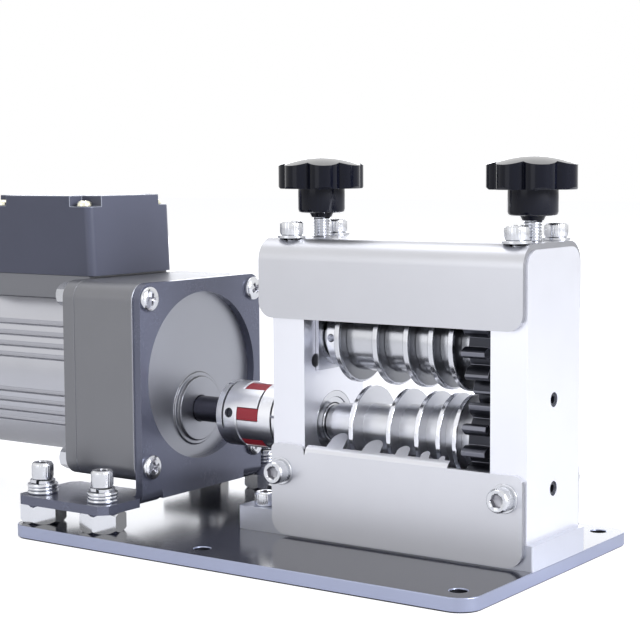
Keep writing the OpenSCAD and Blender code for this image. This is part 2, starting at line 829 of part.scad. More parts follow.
// The outside of the box and its lid between two heights
module box_body(z0, z1) {
    intersection() {
        box_end();
        translate([2 * box_xm, 0, 0]) mirror([1, 0, 0]) box_end();
        translate([box_x0 - past, box_offset - box_d, z0]) cube([box_l + 2 * past, 2 * box_d, z1 - z0]);
    }
}

module terminal_box() {
    color("darkslategray") place() difference() {
        box_body(box_z, box_top);
        translate([box_x0 + box_wall, box_offset - box_d / 2 + box_wall, box_z + box_wall])
            cube([box_l - 2 * box_wall, box_d - 2 * box_wall, box_h]);
        bar(box_x0 - past, box_x0 + box_wall + past, gland_d / 2 + slip, gland_z, box_offset);
    }
}

module terminal_lid() {
    inner_l = box_l - 2 * notch_l - box_wall;
    color("darkslategray") place() difference() {
        box_body(box_top, lid_top);
        for (x = [box_x0 - past, box_x1 - notch_l],
            y = [-box_d / 2 - past, box_d / 2 - notch_w])
            translate([x, box_offset + y, lid_top - notch_h])
                cube([notch_l + past, notch_w + past, lid_h]);
        for (at = lid_screws_at) post(box_top - past, lid_top, lid_screw_d / 2 + screw_gap, at[0], at[1]);
        translate([box_xm - inner_l / 2, box_offset - box_d / 2 + box_wall, box_top - past])
            cube([inner_l, box_d - 2 * box_wall, lid_h - 2]);
    }
}

lid_screw_d = 4;

module lid_screws() {
    shank = lid_h - notch_h - 0.2;
    color("khaki") place() for (at = lid_screws_at)
        translate([at[0], at[1], lid_top - notch_h])
            cap_screw(shank, lid_screw_d * 0.7, lid_screw_d * 1.8, lid_screw_d);
}

// Cable gland in the terminal box's rear wall
gland_d = box_h * 2 / 3;
gland_z = box_z + box_h / 2;

module cable_gland() {
    bore = gland_d / 4;
    r = gland_d / 2;
    inner = box_x0 + 2 * box_wall;
    outer = box_x0 - gland_d;
    color("dimgray") place() translate([0, box_offset, 0]) union() {
        translate([box_x0, 0, gland_z]) rotate([0, -90, 0]) hex_nut(gland_d * 1.25, gland_d / 3, 2 * bore);
        turned([
            [bore, inner], [r, inner], [r, outer + bore / 2], [r - bore / 2, outer], [bore, outer]
        ], gland_z);
    }
}

// A sector of a disc between two angles, drawn around the middle angle
module sector(r, angle) {
    intersection() {
        circle(r);
        polygon([[0, 0], 2 * r * [cos(angle / 2), -sin(angle / 2)],
            2 * r * [cos(angle / 2), sin(angle / 2)]]);
    }
}

// One coupling hub with three jaws pointing along +X
module coupling_hub() {
    r = coupling_d / 2;
    jaw_angle = 60 - leg_angle - 1;
    slit_x = hub_l * 0.3;
    translate([0, 0, shaft_z]) rotate([coupling_turn, 0, 0]) difference() {
        union() {
            ring(0, hub_l, r, shaft_d / 2 + slip);
            for (k = [0:2]) rotate([k * 120, 0, 0])
                along_x(hub_l - past / 2, hub_l + jaw_l - 0.5) difference() {
                    sector(r, jaw_angle);
                    circle(jaw_inner_r);
                }
        }
        translate([slit_x, -r, 0]) cube([1, 2 * r, r]);
        translate([-past, -0.6, 0]) cube([slit_x + past + 0.5, 1.2, r + past]);
        translate([hub_l * 0.65, 0, 0]) rotate([60, 0, 0]) post(0, r + past, 2 + screw_gap);
    }
}

module coupling_hub_motor() {
    color("lightgray") place() translate([coupling_x, 0, 0]) coupling_hub();
}

module coupling_hub_roller() {
    color("lightgray") place() translate([coupling_x1, 0, shaft_z]) mirror([1, 0, 0])
        rotate([60, 0, 0]) translate([0, 0, -shaft_z]) coupling_hub();
}

module coupling_spider() {
    color("indianred") place() translate([0, 0, shaft_z]) along_x(hub_a_x1 + 0.2, hub_b_x0 - 0.2)
        difference() {
            union() {
                circle(jaw_inner_r - slip);
                for (k = [0:5]) rotate(coupling_turn + 30 + k * 60)
                    sector(coupling_d / 2 - 0.3, leg_angle - 0.6);
            }
            circle(d = spider_hole_d);
        }
}

module coupling_screws() {
    r0 = shaft_d / 2 + 0.2;
    color("silver") place() translate([0, 0, shaft_z]) {
        translate([coupling_x + hub_l * 0.65, 0, 0]) rotate([60 + coupling_turn, 0, 0])
            post(r0, coupling_d / 2 - 2, 2);
        translate([coupling_x1 - hub_l * 0.65, 0, 0]) rotate([120 + coupling_turn, 0, 0])
            post(r0, coupling_d / 2 - 2, 2);
    }
}

// Left side plate; the right one is its mirror image without the shaft's way through.
// The inner face is at x = 0 and the plate lies at negative x.
module side_plate(shaft_through, screw_x) {
    pocket_z1 = block_z1 + lift + run_gap;
    spring_x = -pocket_depth / 2;
    corner = bend_r - sheet_t + 0.3;
    difference() {
        along_x(-plate_t, 0) difference() {
            translate([-frame_y, bed_t]) square([frame_d, plate_h]);
            for (side = [0, 1]) mirror([side, 0]) translate([-frame_y, plate_top])
                difference() {
                    square(2 * corner, center = true);
                    translate([corner, -corner]) circle(corner);
                }
        }
        translate([-pocket_depth, -block_y - guide_gap, block_z0 - seat_gap])
            cube([pocket_depth + past, block_w + 2 * guide_gap, pocket_z1 - block_z0 + seat_gap]);
        for (y = [-block_y, block_y])
            bar(-pocket_depth, past, relief_d / 2, blade_z - block_y * 0.7, y);
        for (y = [-spring_y, spring_y])
            post(block_z0 - spring_l, block_z0, spring_d / 2 + run_gap, spring_x, y);
        bar(-brg_w, past, low_brg_d / 2 + slip, shaft_z);
        if (shaft_through) bar(-plate_t - past, past, shaft_d / 2 + 1, shaft_z);
        else bar(-brg_w - 3, past, shaft_d / 2 + 1, shaft_z);
        post(pocket_z1 - past, plate_top + past, adjust_d / 2 + guide_gap, -adjust_inset);
        for (y = [-cover_screw_y, cover_screw_y])
            post(plate_top - 14, plate_top + past, hole_r, -screw_x, y);
        for (z = set_screws_z)
            bar(-plate_t - past, -plate_t + set_screw_l + 2 * set_screw_in, m6_d / 2 + slip, z);
        for (y = [-1, 1]) post(0, bed_t + bed_screw_reach + 0.5, hole_r, -plate_t / 2,
            y * frame_y * 0.65);
    }
}

// Set screws in the plates' outer faces, above and below the feed shaft
set_screws_z = [shaft_z - low_brg_d * 0.65, shaft_z + low_brg_d * 0.65];
set_screw_l = plate_t / 3;
set_screw_in = 0.4;

module cover_screw_holes() {
    for (x = lower_screws_x) translate([x, frame_y + past, lower_screw_z]) rotate([90, 0, 0]) {
        cylinder(h = 12 + past, r = hole_r);
        translate([0, 0, frame_d - 12 + past]) cylinder(h = 12 + past, r = hole_r);
    }
}

module side_plate_left() {
    color("whitesmoke") place() difference() {
        translate([plate_lx1, 0, 0]) side_plate(true, cover_screw_left);
        cover_screw_holes();
    }
}

module side_plate_right() {
    color("whitesmoke") place() difference() {
        translate([plate_rx0, 0, 0]) mirror([1, 0, 0]) side_plate(false, plate_t / 2);
        cover_screw_holes();
    }
}

module plate_set_screws() {
    color("dimgray") place() for (z = set_screws_z) {
        bar(plate_lx0 + set_screw_in, plate_lx0 + set_screw_in + set_screw_l, m6_d / 2, z);
        bar(plate_rx1 - set_screw_in - set_screw_l, plate_rx1 - set_screw_in, m6_d / 2, z);
    }
}

// Outer ring of a ball bearing with its shield; the shield faces x = 0
module outer_ring(d, bore) {
    lip = (d - bore) / 2;
    turned([
        [d / 2, -brg_w], [d / 2, 0], [d / 2 - lip * 0.35, 0], [d / 2 - lip * 0.35, -0.5],
        [bore / 2 + lip * 0.3 + run_gap, -0.5], [bore / 2 + lip * 0.3 + run_gap, -1.5],
        [d / 2 - lip * 0.35, -1.5], [d / 2 - lip * 0.35, -brg_w]
    ]);
}

module inner_ring(d, bore) {
    lip = (d - bore) / 2;
    ring(-brg_w + 0.1, -0.1, bore / 2 + lip * 0.3, bore / 2 + slip);
}

module at_left(x, z) {
    translate([x, 0, z]) children();
}

module at_right(x, z) {
    translate([x, 0, z]) mirror([1, 0, 0]) children();
}

module lower_bearing_rings() {
    color("silver") place() {
        at_left(plate_lx1, shaft_z) outer_ring(low_brg_d, shaft_d);
        at_right(plate_rx0, shaft_z) outer_ring(low_brg_d, shaft_d);
    }
}

module lower_inner_rings() {
    color("silver") place() {
        at_left(plate_lx1, shaft_z) inner_ring(low_brg_d, shaft_d);
        at_right(plate_rx0, shaft_z) inner_ring(low_brg_d, shaft_d);
    }
}

module feed_shaft_bushes() {
    color("silver") place() {
        ring(plate_lx1 + 0.2, roller_x0, shaft_d * 0.65, shaft_d / 2 + slip, shaft_z);
        ring(gear_x1, plate_rx0 - 0.2, shaft_d * 0.65, shaft_d / 2 + slip, shaft_z);
    }
}

module feed_shaft() {
    color("silver") place() turned([
        [0, hub_b_x0 + 1], [shaft_d / 2 - 1, hub_b_x0 + 1], [shaft_d / 2, hub_b_x0 + 2],
        [shaft_d / 2, plate_rx0 + brg_w + 0.5], [0, plate_rx0 + brg_w + 0.5]
    ], shaft_z);
}

// Feed roller: grooves that get narrower and shallower to the right, each closed by a flange
module feed_roller() {
    r = ridge_d / 2;
    bore = shaft_d / 2 + slip;
    last = disc_n - 1;
    outline = [for (k = [0:last]) each [
        [groove_r(k), k == 0 ? roller_x0 : ridge_x(k - 1) + ridge_t],
        [groove_r(k), ridge_x(k)], [r - edge, ridge_x(k)], [r, ridge_x(k) + edge],
        [r, ridge_x(k) + ridge_t - edge], [r - edge, ridge_x(k) + ridge_t]
    ]];
    color("silver") place() turned(concat(
        [[bore, roller_x0]], outline,
        [[groove_r(last), ridge_x(last) + ridge_t], [groove_r(last), gear_x], [bore, gear_x]]
    ), shaft_z);
}

// Involute of a circle, in degrees
function involute(a) = tan(a) * 180 / PI - a;
pitch_r = axis_gap / 2;
base_circle_r = pitch_r * cos(pressure_angle);
root_r = pitch_r - 1.25 * gear_m;
tip_r = pitch_r + 0.95 * gear_m;
half_pitch_tooth = 90 / gear_n - backlash / 2 / pitch_r * 180 / PI;
function half_tooth(r) =
    half_pitch_tooth + involute(pressure_angle) - involute(acos(min(1, base_circle_r / r)));
flank = [for (k = [0:5]) base_circle_r + (tip_r - base_circle_r) * k / 5];
root_half = half_tooth(base_circle_r) * 0.85;
function polar(r, a) = [r * cos(a), r * sin(a)];

module gear_outline() {
    step = 360 / gear_n;
    polygon([for (t = [0:gear_n - 1]) each concat(
        [polar(root_r, t * step - root_half)],
        [for (r = flank) polar(r, t * step - half_tooth(r))],
        [for (k = [5:-1:0]) polar(flank[k], t * step + half_tooth(flank[k]))],
        [polar(root_r, t * step + root_half)]
    )]);
}

module gear(bore, turn) {
    along_x(gear_x, gear_x1) difference() {
        rotate(turn) gear_outline();
        circle(bore);
    }
}

module feed_gear() {
    color("dimgray") place() translate([0, 0, shaft_z]) gear(shaft_d / 2 + slip, 90 + gear_turn);
}

module blade_gear() {
    color("dimgray") place() translate([0, 0, blade_z])
        gear(blade_shaft_d / 2 + slip, 180 / gear_n - 90 - gear_turn);
}

// Blade shaft with thinner ends for its bearings
module blade_shaft() {
    end_l = brg_w - 0.5;
    x0 = block_lx1 + 0.2;
    x1 = plate_rx0 - block_out - 0.2;
    color("silver") place() turned([
        [0, x0 - end_l], [blade_end_d / 2, x0 - end_l], [blade_end_d / 2, x0],
        [blade_shaft_d / 2, x0], [blade_shaft_d / 2, x1], [blade_end_d / 2, x1],
        [blade_end_d / 2, x1 + end_l], [0, x1 + end_l]
    ], blade_z);
}

module blade_discs() {
    r = disc_d / 2;
    bevel = 1;
    color("lightgray") place() for (k = [0:disc_n - 1]) turned([
        [blade_shaft_d / 2 + slip, disc_x(k)], [r - edge, disc_x(k)], [r, disc_x(k) + edge],
        [r, disc_x(k) + disc_t - bevel / 2], [r - bevel, disc_x(k) + disc_t],
        [blade_shaft_d / 2 + slip, disc_x(k) + disc_t]
    ], blade_z);
}

module blade_sleeves() {
    bore = blade_shaft_d / 2 + slip;
    last = disc_n - 1;
    color("white") place() {
        ring(block_lx1 + 0.6, collar_x, blade_shaft_d * 0.72, bore, blade_z);
        difference() {
            ring(collar_x, disc_x(0), sleeve_d / 2, bore, blade_z);
            translate([collar_x + 2.6, 0, blade_z]) rotate([90, 0, 0])
                cylinder(h = sleeve_d, r = 1.8);
        }
        for (k = [0:last - 1])
            ring(disc_x(k) + disc_t, disc_x(k + 1), sleeve_d / 2, bore, blade_z);
        ring(disc_x(last) + disc_t, gear_x, sleeve_d / 2 - 1, bore, blade_z);
    }
}

module upper_inner_rings() {
    color("silver") place() {
        at_left(block_lx1, blade_z) inner_ring(up_brg_d, blade_end_d);
        at_right(plate_rx0 - block_out, blade_z) inner_ring(up_brg_d, blade_end_d);
    }
}

module upper_bearing_rings() {
    color("silver") place() {
        at_left(block_lx1, blade_z) outer_ring(up_brg_d, blade_end_d);
        at_right(plate_rx0 - block_out, blade_z) outer_ring(up_brg_d, blade_end_d);
    }
}

// Sliding block with its inner face at x = 0
module bearing_block() {
    back = pocket_depth + block_out - guide_gap;
    tip_x = -block_out - adjust_inset;
    difference() {
        translate([-back, -block_y, block_z0]) cube([back, block_w, block_z1 - block_z0]);
        bar(-brg_w, past, up_brg_d / 2 + slip, blade_z);
        bar(-back + 2, past, up_brg_d / 2 - 4, blade_z);
        post(block_z1 - tip_depth, block_z1 + past, adjust_d / 2 + guide_gap, tip_x);
    }
}

module bearing_block_left() {
    color("lightgray") place() translate([block_lx1, 0, 0]) bearing_block();
}

module bearing_block_right() {
    color("lightgray") place() translate([plate_rx0 - block_out, 0, 0]) mirror([1, 0, 0])
        bearing_block();
}

// Lifting springs under the sliding blocks
spring_steps = 12;
spring_sides = 6;

function spring_point(u, w) = let (
    a = u * 360 * spring_coils,
    r = spring_d / 2 - spring_wire / 2 + spring_wire / 2 * cos(w)
) [r * cos(a), r * sin(a), spring_wire / 2 + u * (spring_l - spring_wire) + spring_wire / 2 * sin(w)];

module lift_spring() {
    n = spring_steps * spring_coils;
    m = spring_sides;
    points = [for (i = [0:n], j = [0:m - 1]) spring_point(i / n, -j * 360 / m)];
    sides = [for (i = [0:n - 1], j = [0:m - 1])
        [i * m + j, i * m + (j + 1) % m, (i + 1) * m + (j + 1) % m, (i + 1) * m + j]];
    start = [for (j = [m - 1:-1:0]) j];
    end = [for (j = [0:m - 1]) n * m + j];
    polyhedron(points = points, faces = concat(sides, [start, end]), convexity = 6);
}

module lift_springs() {
    color("silver") place()
        for (x = [plate_lx1 - pocket_depth / 2, plate_rx0 + pocket_depth / 2], y = [-spring_y, spring_y])
            translate([x, y, block_z0 - spring_l]) lift_spring();
}

// Upper cover: one sheet bent down over the side plates' fronts and backs
module upper_cover() {
    x0 = plate_lx0 - upper_left;
    x1 = plate_rx1 - upper_right;
    y = frame_y + sheet_t;
    color("silver") place() difference() {
        intersection() {
            along_x(x0, x1) difference() {
                union() {
                    translate([-y, upper_z]) square([2 * y, cover_top - upper_z - bend_r]);
                    translate([-y + bend_r, upper_z]) square([2 * (y - bend_r), cover_top - upper_z]);
                    for (side = [-1, 1]) translate([side * (y - bend_r), cover_top - bend_r])
                        circle(bend_r);
                }
                translate([-frame_y, upper_z - past])
                    square([frame_d, cover_top - bend_r - upper_z + past]);
                translate([-y + bend_r, upper_z - past])
                    square([2 * (y - bend_r), plate_top - upper_z + past]);
                for (side = [-1, 1]) translate([side * (y - bend_r), cover_top - bend_r])
                    circle(bend_r - sheet_t);
            }
            along_y(-y - past, y + past)
                rounded(x0, upper_z, x1, cover_top + 2 * cover_r, cover_r);
        }
        for (x = [adjust_lx, adjust_rx]) post(plate_top - past, cover_top + past, adjust_d / 2 + 1, x);
        for (x = cover_screws_x, y = [-cover_screw_y, cover_screw_y])
            post(plate_top - past, cover_top + past, hole_r, x, y);
    }
}

// One finger of the comb, seen from above, in groove k
module finger(k) {
    w = 0.6 * groove_w(k);
    tip_w = 0.84 * w;
    root_x = ridge_x(k) + 1;
    tip_x = ridge_x(k) - 0.5 - tip_w / 2;
    tip_y = -ridge_d * 0.405 - k * finger_step;
    polygon([
        [root_x - w, -frame_y - sheet_t], [tip_x - tip_w / 2, tip_y - tip_w / 2],
        [tip_x + tip_w / 2, tip_y - tip_w / 2], [root_x, -frame_y - sheet_t]
    ]);
    translate([tip_x, tip_y - tip_w / 2]) circle(tip_w / 2);
}

// Bent edge of the comb, seen from its end: a short upright, a bend and a sloping flange
function bend_point(r, a) =
    [-frame_y + comb_bend - sheet_t - r * cos(a), comb_z - comb_bend + r * sin(a)];
function flange_point(r, a, reach) = bend_point(r, a) + reach * [sin(a), cos(a)];

module comb_profile() {
    turn = 90 - comb_slope;
    reach = frame_y;
    outer = comb_bend;
    inner = comb_bend - sheet_t;
    polygon(concat(
        [for (k = [0:6]) bend_point(outer, turn * k / 6)],
        [flange_point(outer, turn, reach), flange_point(inner, turn, reach)],
        [for (k = [6:-1:0]) bend_point(inner, turn * k / 6)]
    ));
}

module lower_cover() {
    bend_z = comb_z - comb_bend;
    y0 = -frame_y - sheet_t;
    color("silver") place() {
        difference() {
            along_y(y0, -frame_y) union() {
                rounded(lower_x0, lower_gap, lower_x1, bend_z, cover_r);
                translate([lower_x0, lower_gap + cover_r]) square([20, bend_z - lower_gap - cover_r]);
                translate([comb_x1, bend_z - cover_r - 2]) square([lower_x1 - cover_r - comb_x1, cover_r + 2]);
                rounded(lower_x0, bend_z - cover_r - 2, comb_x0 - 0.5, comb_z, 3);
                rounded(comb_x0 - past, bend_z - cover_r - 2, lower_x1, gear_guard_z, 4);
            }
            for (x = lower_screws_x) translate([x, -frame_y + past, lower_screw_z])
                rotate([90, 0, 0]) cylinder(h = sheet_t + 2 * past, r = hole_r);
        }
        intersection() {
            along_x(comb_x0, comb_x1) comb_profile();
            translate([0, 0, bend_z]) linear_extrude(comb_z) {
                translate([comb_x0, y0]) square([comb_x1 - comb_x0, comb_lip]);
                for (k = [0:disc_n - 1]) finger(k);
            }
        }
    }
}

// Plain cover over the lower half of the head's back
module rear_cover() {
    color("silver") place() difference() {
        along_y(frame_y, frame_y + sheet_t)
            rounded(lower_x0, lower_gap, lower_x1, comb_z, cover_r);
        for (x = lower_screws_x) translate([x, frame_y + sheet_t + past, lower_screw_z])
            rotate([90, 0, 0]) cylinder(h = sheet_t + 2 * past, r = hole_r);
    }
}

cover_washer_d = 12;
cover_washer_t = 1.2;

// Places what it draws on every cover screw's seat, with z = 0 on the sheet
module at_cover_screws() {
    for (x = cover_screws_x, y = [-cover_screw_y, cover_screw_y])
        translate([x, y, cover_top]) children();
    for (x = lower_screws_x) {
        translate([x, -frame_y - sheet_t, lower_screw_z]) rotate([90, 0, 0]) children();
        translate([x, frame_y + sheet_t, lower_screw_z]) rotate([-90, 0, 0]) children();
    }
}

module cover_washers() {
    color("silver") place() at_cover_screws() washer(cover_washer_d, cover_washer_t);
}

module cover_screws() {
    color("silver") place() at_cover_screws()
        translate([0, 0, cover_washer_t]) cap_screw(cover_washer_t + sheet_t + 10);
}

// Seven-lobe star knob with a domed top, standing on z = 0
module star_knob() {
    r = knob_d / 2;
    lobe_at = r - lobe_d / 2;
    neck_h = adjust_d / 4;
    neck_r = adjust_d / 2 + 1.3;
    color("black") difference() {
        union() {
            rotate_extrude() polygon([
                [0, -neck_h], [neck_r - 1, -neck_h], [neck_r, 0], [knob_hub_d / 2 - 1.5, 0],
                [knob_hub_d / 2 - 0.4, 0.4], [knob_hub_d / 2, 1.5],
                [knob_hub_d / 2, knob_hub_h + 1], [0, knob_hub_h + 1]
            ]);
            translate([0, 0, knob_hub_h]) intersection() {
                linear_extrude(star_h) {
                    circle(lobe_at);
                    for (k = [0:lobe_n - 1]) rotate(k * 360 / lobe_n)
                        translate([lobe_at, 0]) circle(d = lobe_d);
                }
                rotate_extrude() polygon(concat(
                    [[0, 0], [r - 1, 0], [r, 1]],
                    [for (k = [0:8]) [r * (1 - k / 8), lobe_h + (star_h - lobe_h) * (1 - pow(1 - k / 8, 2))]]
                ));
            }
        }
        translate([0, 0, -neck_h - past])
            cylinder(h = knob_hub_h + neck_h + past, r = adjust_d / 2 + slip);
    }
}

module adjusting_screw() {
    z0 = block_z1 - tip_depth + seat_gap;
    z1 = knob_z + knob_hub_h - 0.5;
    r = adjust_d / 2;
    rotate_extrude() polygon([
        [0, z0], [r - 1, z0], [r, z0 + 1], [r, z1], [0, z1]
    ]);
}

module knob_left() {
    place() translate([adjust_lx, 0, knob_z]) star_knob();
}

module knob_right() {
    place() translate([adjust_rx, 0, knob_z]) star_knob();
}

module adjusting_screw_left() {
    color("silver") place() translate([adjust_lx, 0, 0]) adjusting_screw();
}

module adjusting_screw_right() {
    color("silver") place() translate([adjust_rx, 0, 0]) adjusting_screw();
}

base_plate();
bed_plate();
bed_screws();
bed_cap_screws();
bed_stop_screw();
motor_bracket();
foot_bolts();
foot_spring_washers();
foot_flat_washers();
spacer_nuts();
gear_head();
gear_head_screws();
gear_head_nuts();
output_shaft();
motor_flange();
motor_housing();
stator();
rotor();
cooling_fan();
rear_cap();
rear_cap_screws();
fan_cover();
fan_cover_screws();
box_saddle();
terminal_box();
terminal_lid();
lid_screws();
cable_gland();
coupling_hub_motor();
coupling_hub_roller();
coupling_spider();
coupling_screws();
side_plate_left();
side_plate_right();
plate_set_screws();
lower_bearing_rings();
lower_inner_rings();
feed_shaft_bushes();
feed_shaft();
feed_roller();
feed_gear();
blade_shaft();
blade_discs();
blade_sleeves();
blade_gear();
upper_inner_rings();
bearing_block_left();
bearing_block_right();
upper_bearing_rings();
lift_springs();
upper_cover();
lower_cover();
rear_cover();
cover_screws();
cover_washers();
knob_left();
adjusting_screw_left();
knob_right();
adjusting_screw_right();
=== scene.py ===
import json
import math

import bmesh
import bpy
from bpy.props import FloatProperty, FloatVectorProperty, IntProperty, PointerProperty
from mathutils import Matrix, Vector


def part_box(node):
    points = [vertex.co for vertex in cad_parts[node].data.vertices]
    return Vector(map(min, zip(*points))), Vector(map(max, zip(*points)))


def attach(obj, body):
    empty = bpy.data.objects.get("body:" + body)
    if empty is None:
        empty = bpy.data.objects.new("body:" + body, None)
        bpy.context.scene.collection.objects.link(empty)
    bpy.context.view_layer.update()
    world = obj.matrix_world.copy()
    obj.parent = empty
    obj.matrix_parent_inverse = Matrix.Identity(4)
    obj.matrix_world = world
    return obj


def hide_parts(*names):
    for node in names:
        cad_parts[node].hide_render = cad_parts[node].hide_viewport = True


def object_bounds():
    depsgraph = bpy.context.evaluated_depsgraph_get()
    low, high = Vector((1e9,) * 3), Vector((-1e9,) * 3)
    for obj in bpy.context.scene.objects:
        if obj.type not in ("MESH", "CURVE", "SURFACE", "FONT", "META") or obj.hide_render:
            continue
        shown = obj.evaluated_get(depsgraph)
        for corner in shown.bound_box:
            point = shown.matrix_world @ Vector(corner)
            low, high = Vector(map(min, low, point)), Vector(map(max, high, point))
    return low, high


bl_info = {
    "name": "Wire stripping machine finish",
    "version": (1, 0, 0),
    "blender": (4, 5, 0),
    "location": "3D View > Sidebar > Stripper",
    "description": "Dresses the packed wire stripping machine with its finishes and fine details",
    "category": "Object",
}

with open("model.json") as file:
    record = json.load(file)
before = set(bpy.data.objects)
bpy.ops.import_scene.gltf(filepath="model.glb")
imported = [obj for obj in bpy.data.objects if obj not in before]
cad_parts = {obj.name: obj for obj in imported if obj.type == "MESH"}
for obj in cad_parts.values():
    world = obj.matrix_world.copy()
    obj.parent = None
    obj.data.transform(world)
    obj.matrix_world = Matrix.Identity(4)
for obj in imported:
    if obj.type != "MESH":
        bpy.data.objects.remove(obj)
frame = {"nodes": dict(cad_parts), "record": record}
cad_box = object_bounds()

MM = 0.001
AXES = {"X": 0, "Y": 1, "Z": 2}

# Faces that meet at less than these angles are shaded as one, and are one flat face
SMOOTH_ANGLE = math.radians(35)
FLAT_ANGLE = math.radians(0.6)

# Corners nearer than JOIN are one corner, and heights nearer than SAME_HEIGHT are the same
JOIN = 0.002 * MM
SAME_HEIGHT = 0.05 * MM

# A face looks along an axis when that much of its normal does
FACING = 0.9

# Angle in degrees from the middle of a cross recess's wing to its corner
CROSS_WING = 17

# How far brushed grain is drawn out: its coordinate counts for this share
BRUSH_SHARE = 0.012


# What the frame says of a CAD node

def middle(node):
    """Middle of a CAD node's box, in metres."""
    low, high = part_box(node)
    return (low + high) / 2


def body_of_node(node):
    """Name of the body that a CAD node belongs to."""
    bodies = frame["record"]["behaviour"]["bodies"]
    return next(body for body, nodes in bodies.items() if node in nodes)


# Settings that a user would change

def length(name, text, default, low, high):
    """A length property in metres."""
    return FloatProperty(name=name, description=text, default=default, min=low, max=high,
                         unit="LENGTH", precision=5)


def shade(name, text, default):
    """A colour property."""
    return FloatVectorProperty(name=name, description=text, default=default, size=3,
                               min=0.0, max=1.0, subtype="COLOR")


class STRIPPER_PG_sizes(bpy.types.PropertyGroup):
    """Sizes of the fine details that the solids leave out"""

    edge: length("Plate edges", "Width of the broken edges on plates and castings",
                 0.5 * MM, 0.05 * MM, 2 * MM)
    fine_edge: length("Fine edges", "Width of the broken edges on small parts",
                      0.22 * MM, 0.02 * MM, 1 * MM)
    # The chamfer under the base plate is coloured dark: a painted contact shadow.
    base_chamfer: length("Base chamfer", "Width of the chamfer under the base plate",
                         0.7 * MM, 0.1 * MM, 2 * MM)
    knob_pitch: length("Adjusting thread", "Pitch of the adjusting screws", 1.25 * MM, 0.5 * MM, 2 * MM)
    screw_pitch: length("Screw thread", "Pitch of the cap screws", 1.0 * MM, 0.4 * MM, 2 * MM)
    small_pitch: length("Small thread", "Pitch of the rear cap's and the lid's screws",
                        0.7 * MM, 0.4 * MM, 1 * MM)
    fan_pitch: length("Fan cover thread", "Pitch of the fan cover's screws", 0.5 * MM, 0.3 * MM, 1 * MM)
    knurl: IntProperty(name="Knurl ridges", description="Ridges round a cap screw's head",
                       default=30, min=12, max=60)
    knurl_depth: length("Knurl depth", "Depth of the ridges round a cap screw's head",
                        0.16 * MM, 0.02 * MM, 0.4 * MM)


class STRIPPER_PG_finish(bpy.types.PropertyGroup):
    """Colours of the machine's finishes"""

    base_paint: shade("Base paint", "Dark satin paint of the base plate", (0.017, 0.018, 0.029))
    bracket_paint: shade("Bracket paint", "Blue-grey paint of the motor's foot bracket",
                         (0.150, 0.159, 0.215))
    box_paint: shade("Box paint", "Grey paint of the terminal box", (0.110, 0.117, 0.162))
    casting: shade("Casting", "Grey of the gear head", (0.240, 0.242, 0.258))
    steel: shade("Steel", "Turned and ground steel", (0.74, 0.75, 0.79))
    sheet: shade("Cover sheet", "Satin zinc of the covers", (0.62, 0.625, 0.66))
    zinc: shade("Zinc", "Bright plating of the fasteners", (0.70, 0.71, 0.74))
    alloy: shade("Alloy", "Bead-blasted alloy of the side plates", (0.89, 0.90, 0.96))
    black: shade("Black oxide", "Black oxide of gears and socket screws", (0.034, 0.036, 0.048))
    knob: shade("Knob plastic", "Glossy black plastic of the star knobs", (0.004, 0.005, 0.012))
    spider: shade("Spider", "Red polyurethane of the coupling's spider", (0.50, 0.035, 0.055))


class STRIPPER_PG_stage(bpy.types.PropertyGroup):
    """Where the camera stands and how the light falls"""

    lens: FloatProperty(name="Lens", description="Focal length on a 36 mm sensor, in millimetres",
                        default=92.763, min=20, max=300)
    yaw: FloatProperty(name="Yaw", description="Turn of the camera to the left",
                       default=math.radians(34.98), subtype="ANGLE")
    pitch: FloatProperty(name="Pitch", description="Dip of the camera below the horizon",
                         default=math.radians(5.39), subtype="ANGLE")
    roll: FloatProperty(name="Roll", description="Roll of the camera",
                        default=math.radians(-0.34), subtype="ANGLE")
    place: FloatVectorProperty(name="Place", description="Where the camera stands", size=3,
                               default=(0.41837, -0.59385, 0.16741), unit="LENGTH")
    sky: FloatProperty(name="Soft light", description="Strength of the light from all round",
                       default=0.34, min=0, max=2)
    key: FloatProperty(name="Key light", description="Power of the lamp at the right, in watts",
                       default=35.0, min=0, max=100)
    front: FloatProperty(name="Front light", description="Power of the lamp in front, as a share of the key",
                         default=0.07, min=0, max=1)
    top: FloatProperty(name="Top light", description="Power of the lamp overhead, as a share of the key",
                       default=0.10, min=0, max=1)
    back: FloatProperty(name="Back light", description="Power of the wide lamp far behind, in watts",
                        default=24.0, min=0, max=100)
    floor_seen: FloatProperty(name="Floor seen", description="Glow of the floor in the camera's view",
                              default=0.68, min=0, max=1)
    floor_mirrored: FloatProperty(name="Floor mirrored", description="Glow of the floor in metal and glass",
                                  default=0.2, min=0, max=1)


# Levels of lofted forms: functions from an angle to a radius and a height

def circle(radius, z):
    """A level with the same radius all round."""
    return lambda angle: (radius, z)


def hexagon(flat, z, turn=0.0):
    """A level shaped as a hexagon with that size across flats."""
    step = math.pi / 3

    def level(angle):
        off = (angle + turn) % step - step / 2
        return flat / 2 / math.cos(off), z
    return level


def ridged(radius, depth, count, z):
    """A level with ridges round it, for knurled heads."""
    def level(angle):
        return radius - depth * (0.5 + 0.5 * math.cos(angle * count)), z
    return level


def cross_level(reach, half, top, cut=0.0):
    """A level shaped as a cross recess; its rim follows the head's dome."""
    def level(angle):
        quarter = math.pi / 2
        off = abs((angle + quarter / 2) % quarter - quarter / 2)
        radius = min(reach / math.cos(off), half / max(math.sin(off), 1e-6))
        return radius, top(radius) - cut
    return level


def even_angles(count):
    """Angles at even steps round a circle."""
    return [2 * math.pi * i / count for i in range(count)]


# Code that builds meshes

def span(points):
    """Lowest and highest corner of the box round some points."""
    low = Vector([min(p[i] for p in points) for i in range(3)])
    high = Vector([max(p[i] for p in points) for i in range(3)])
    return low, high


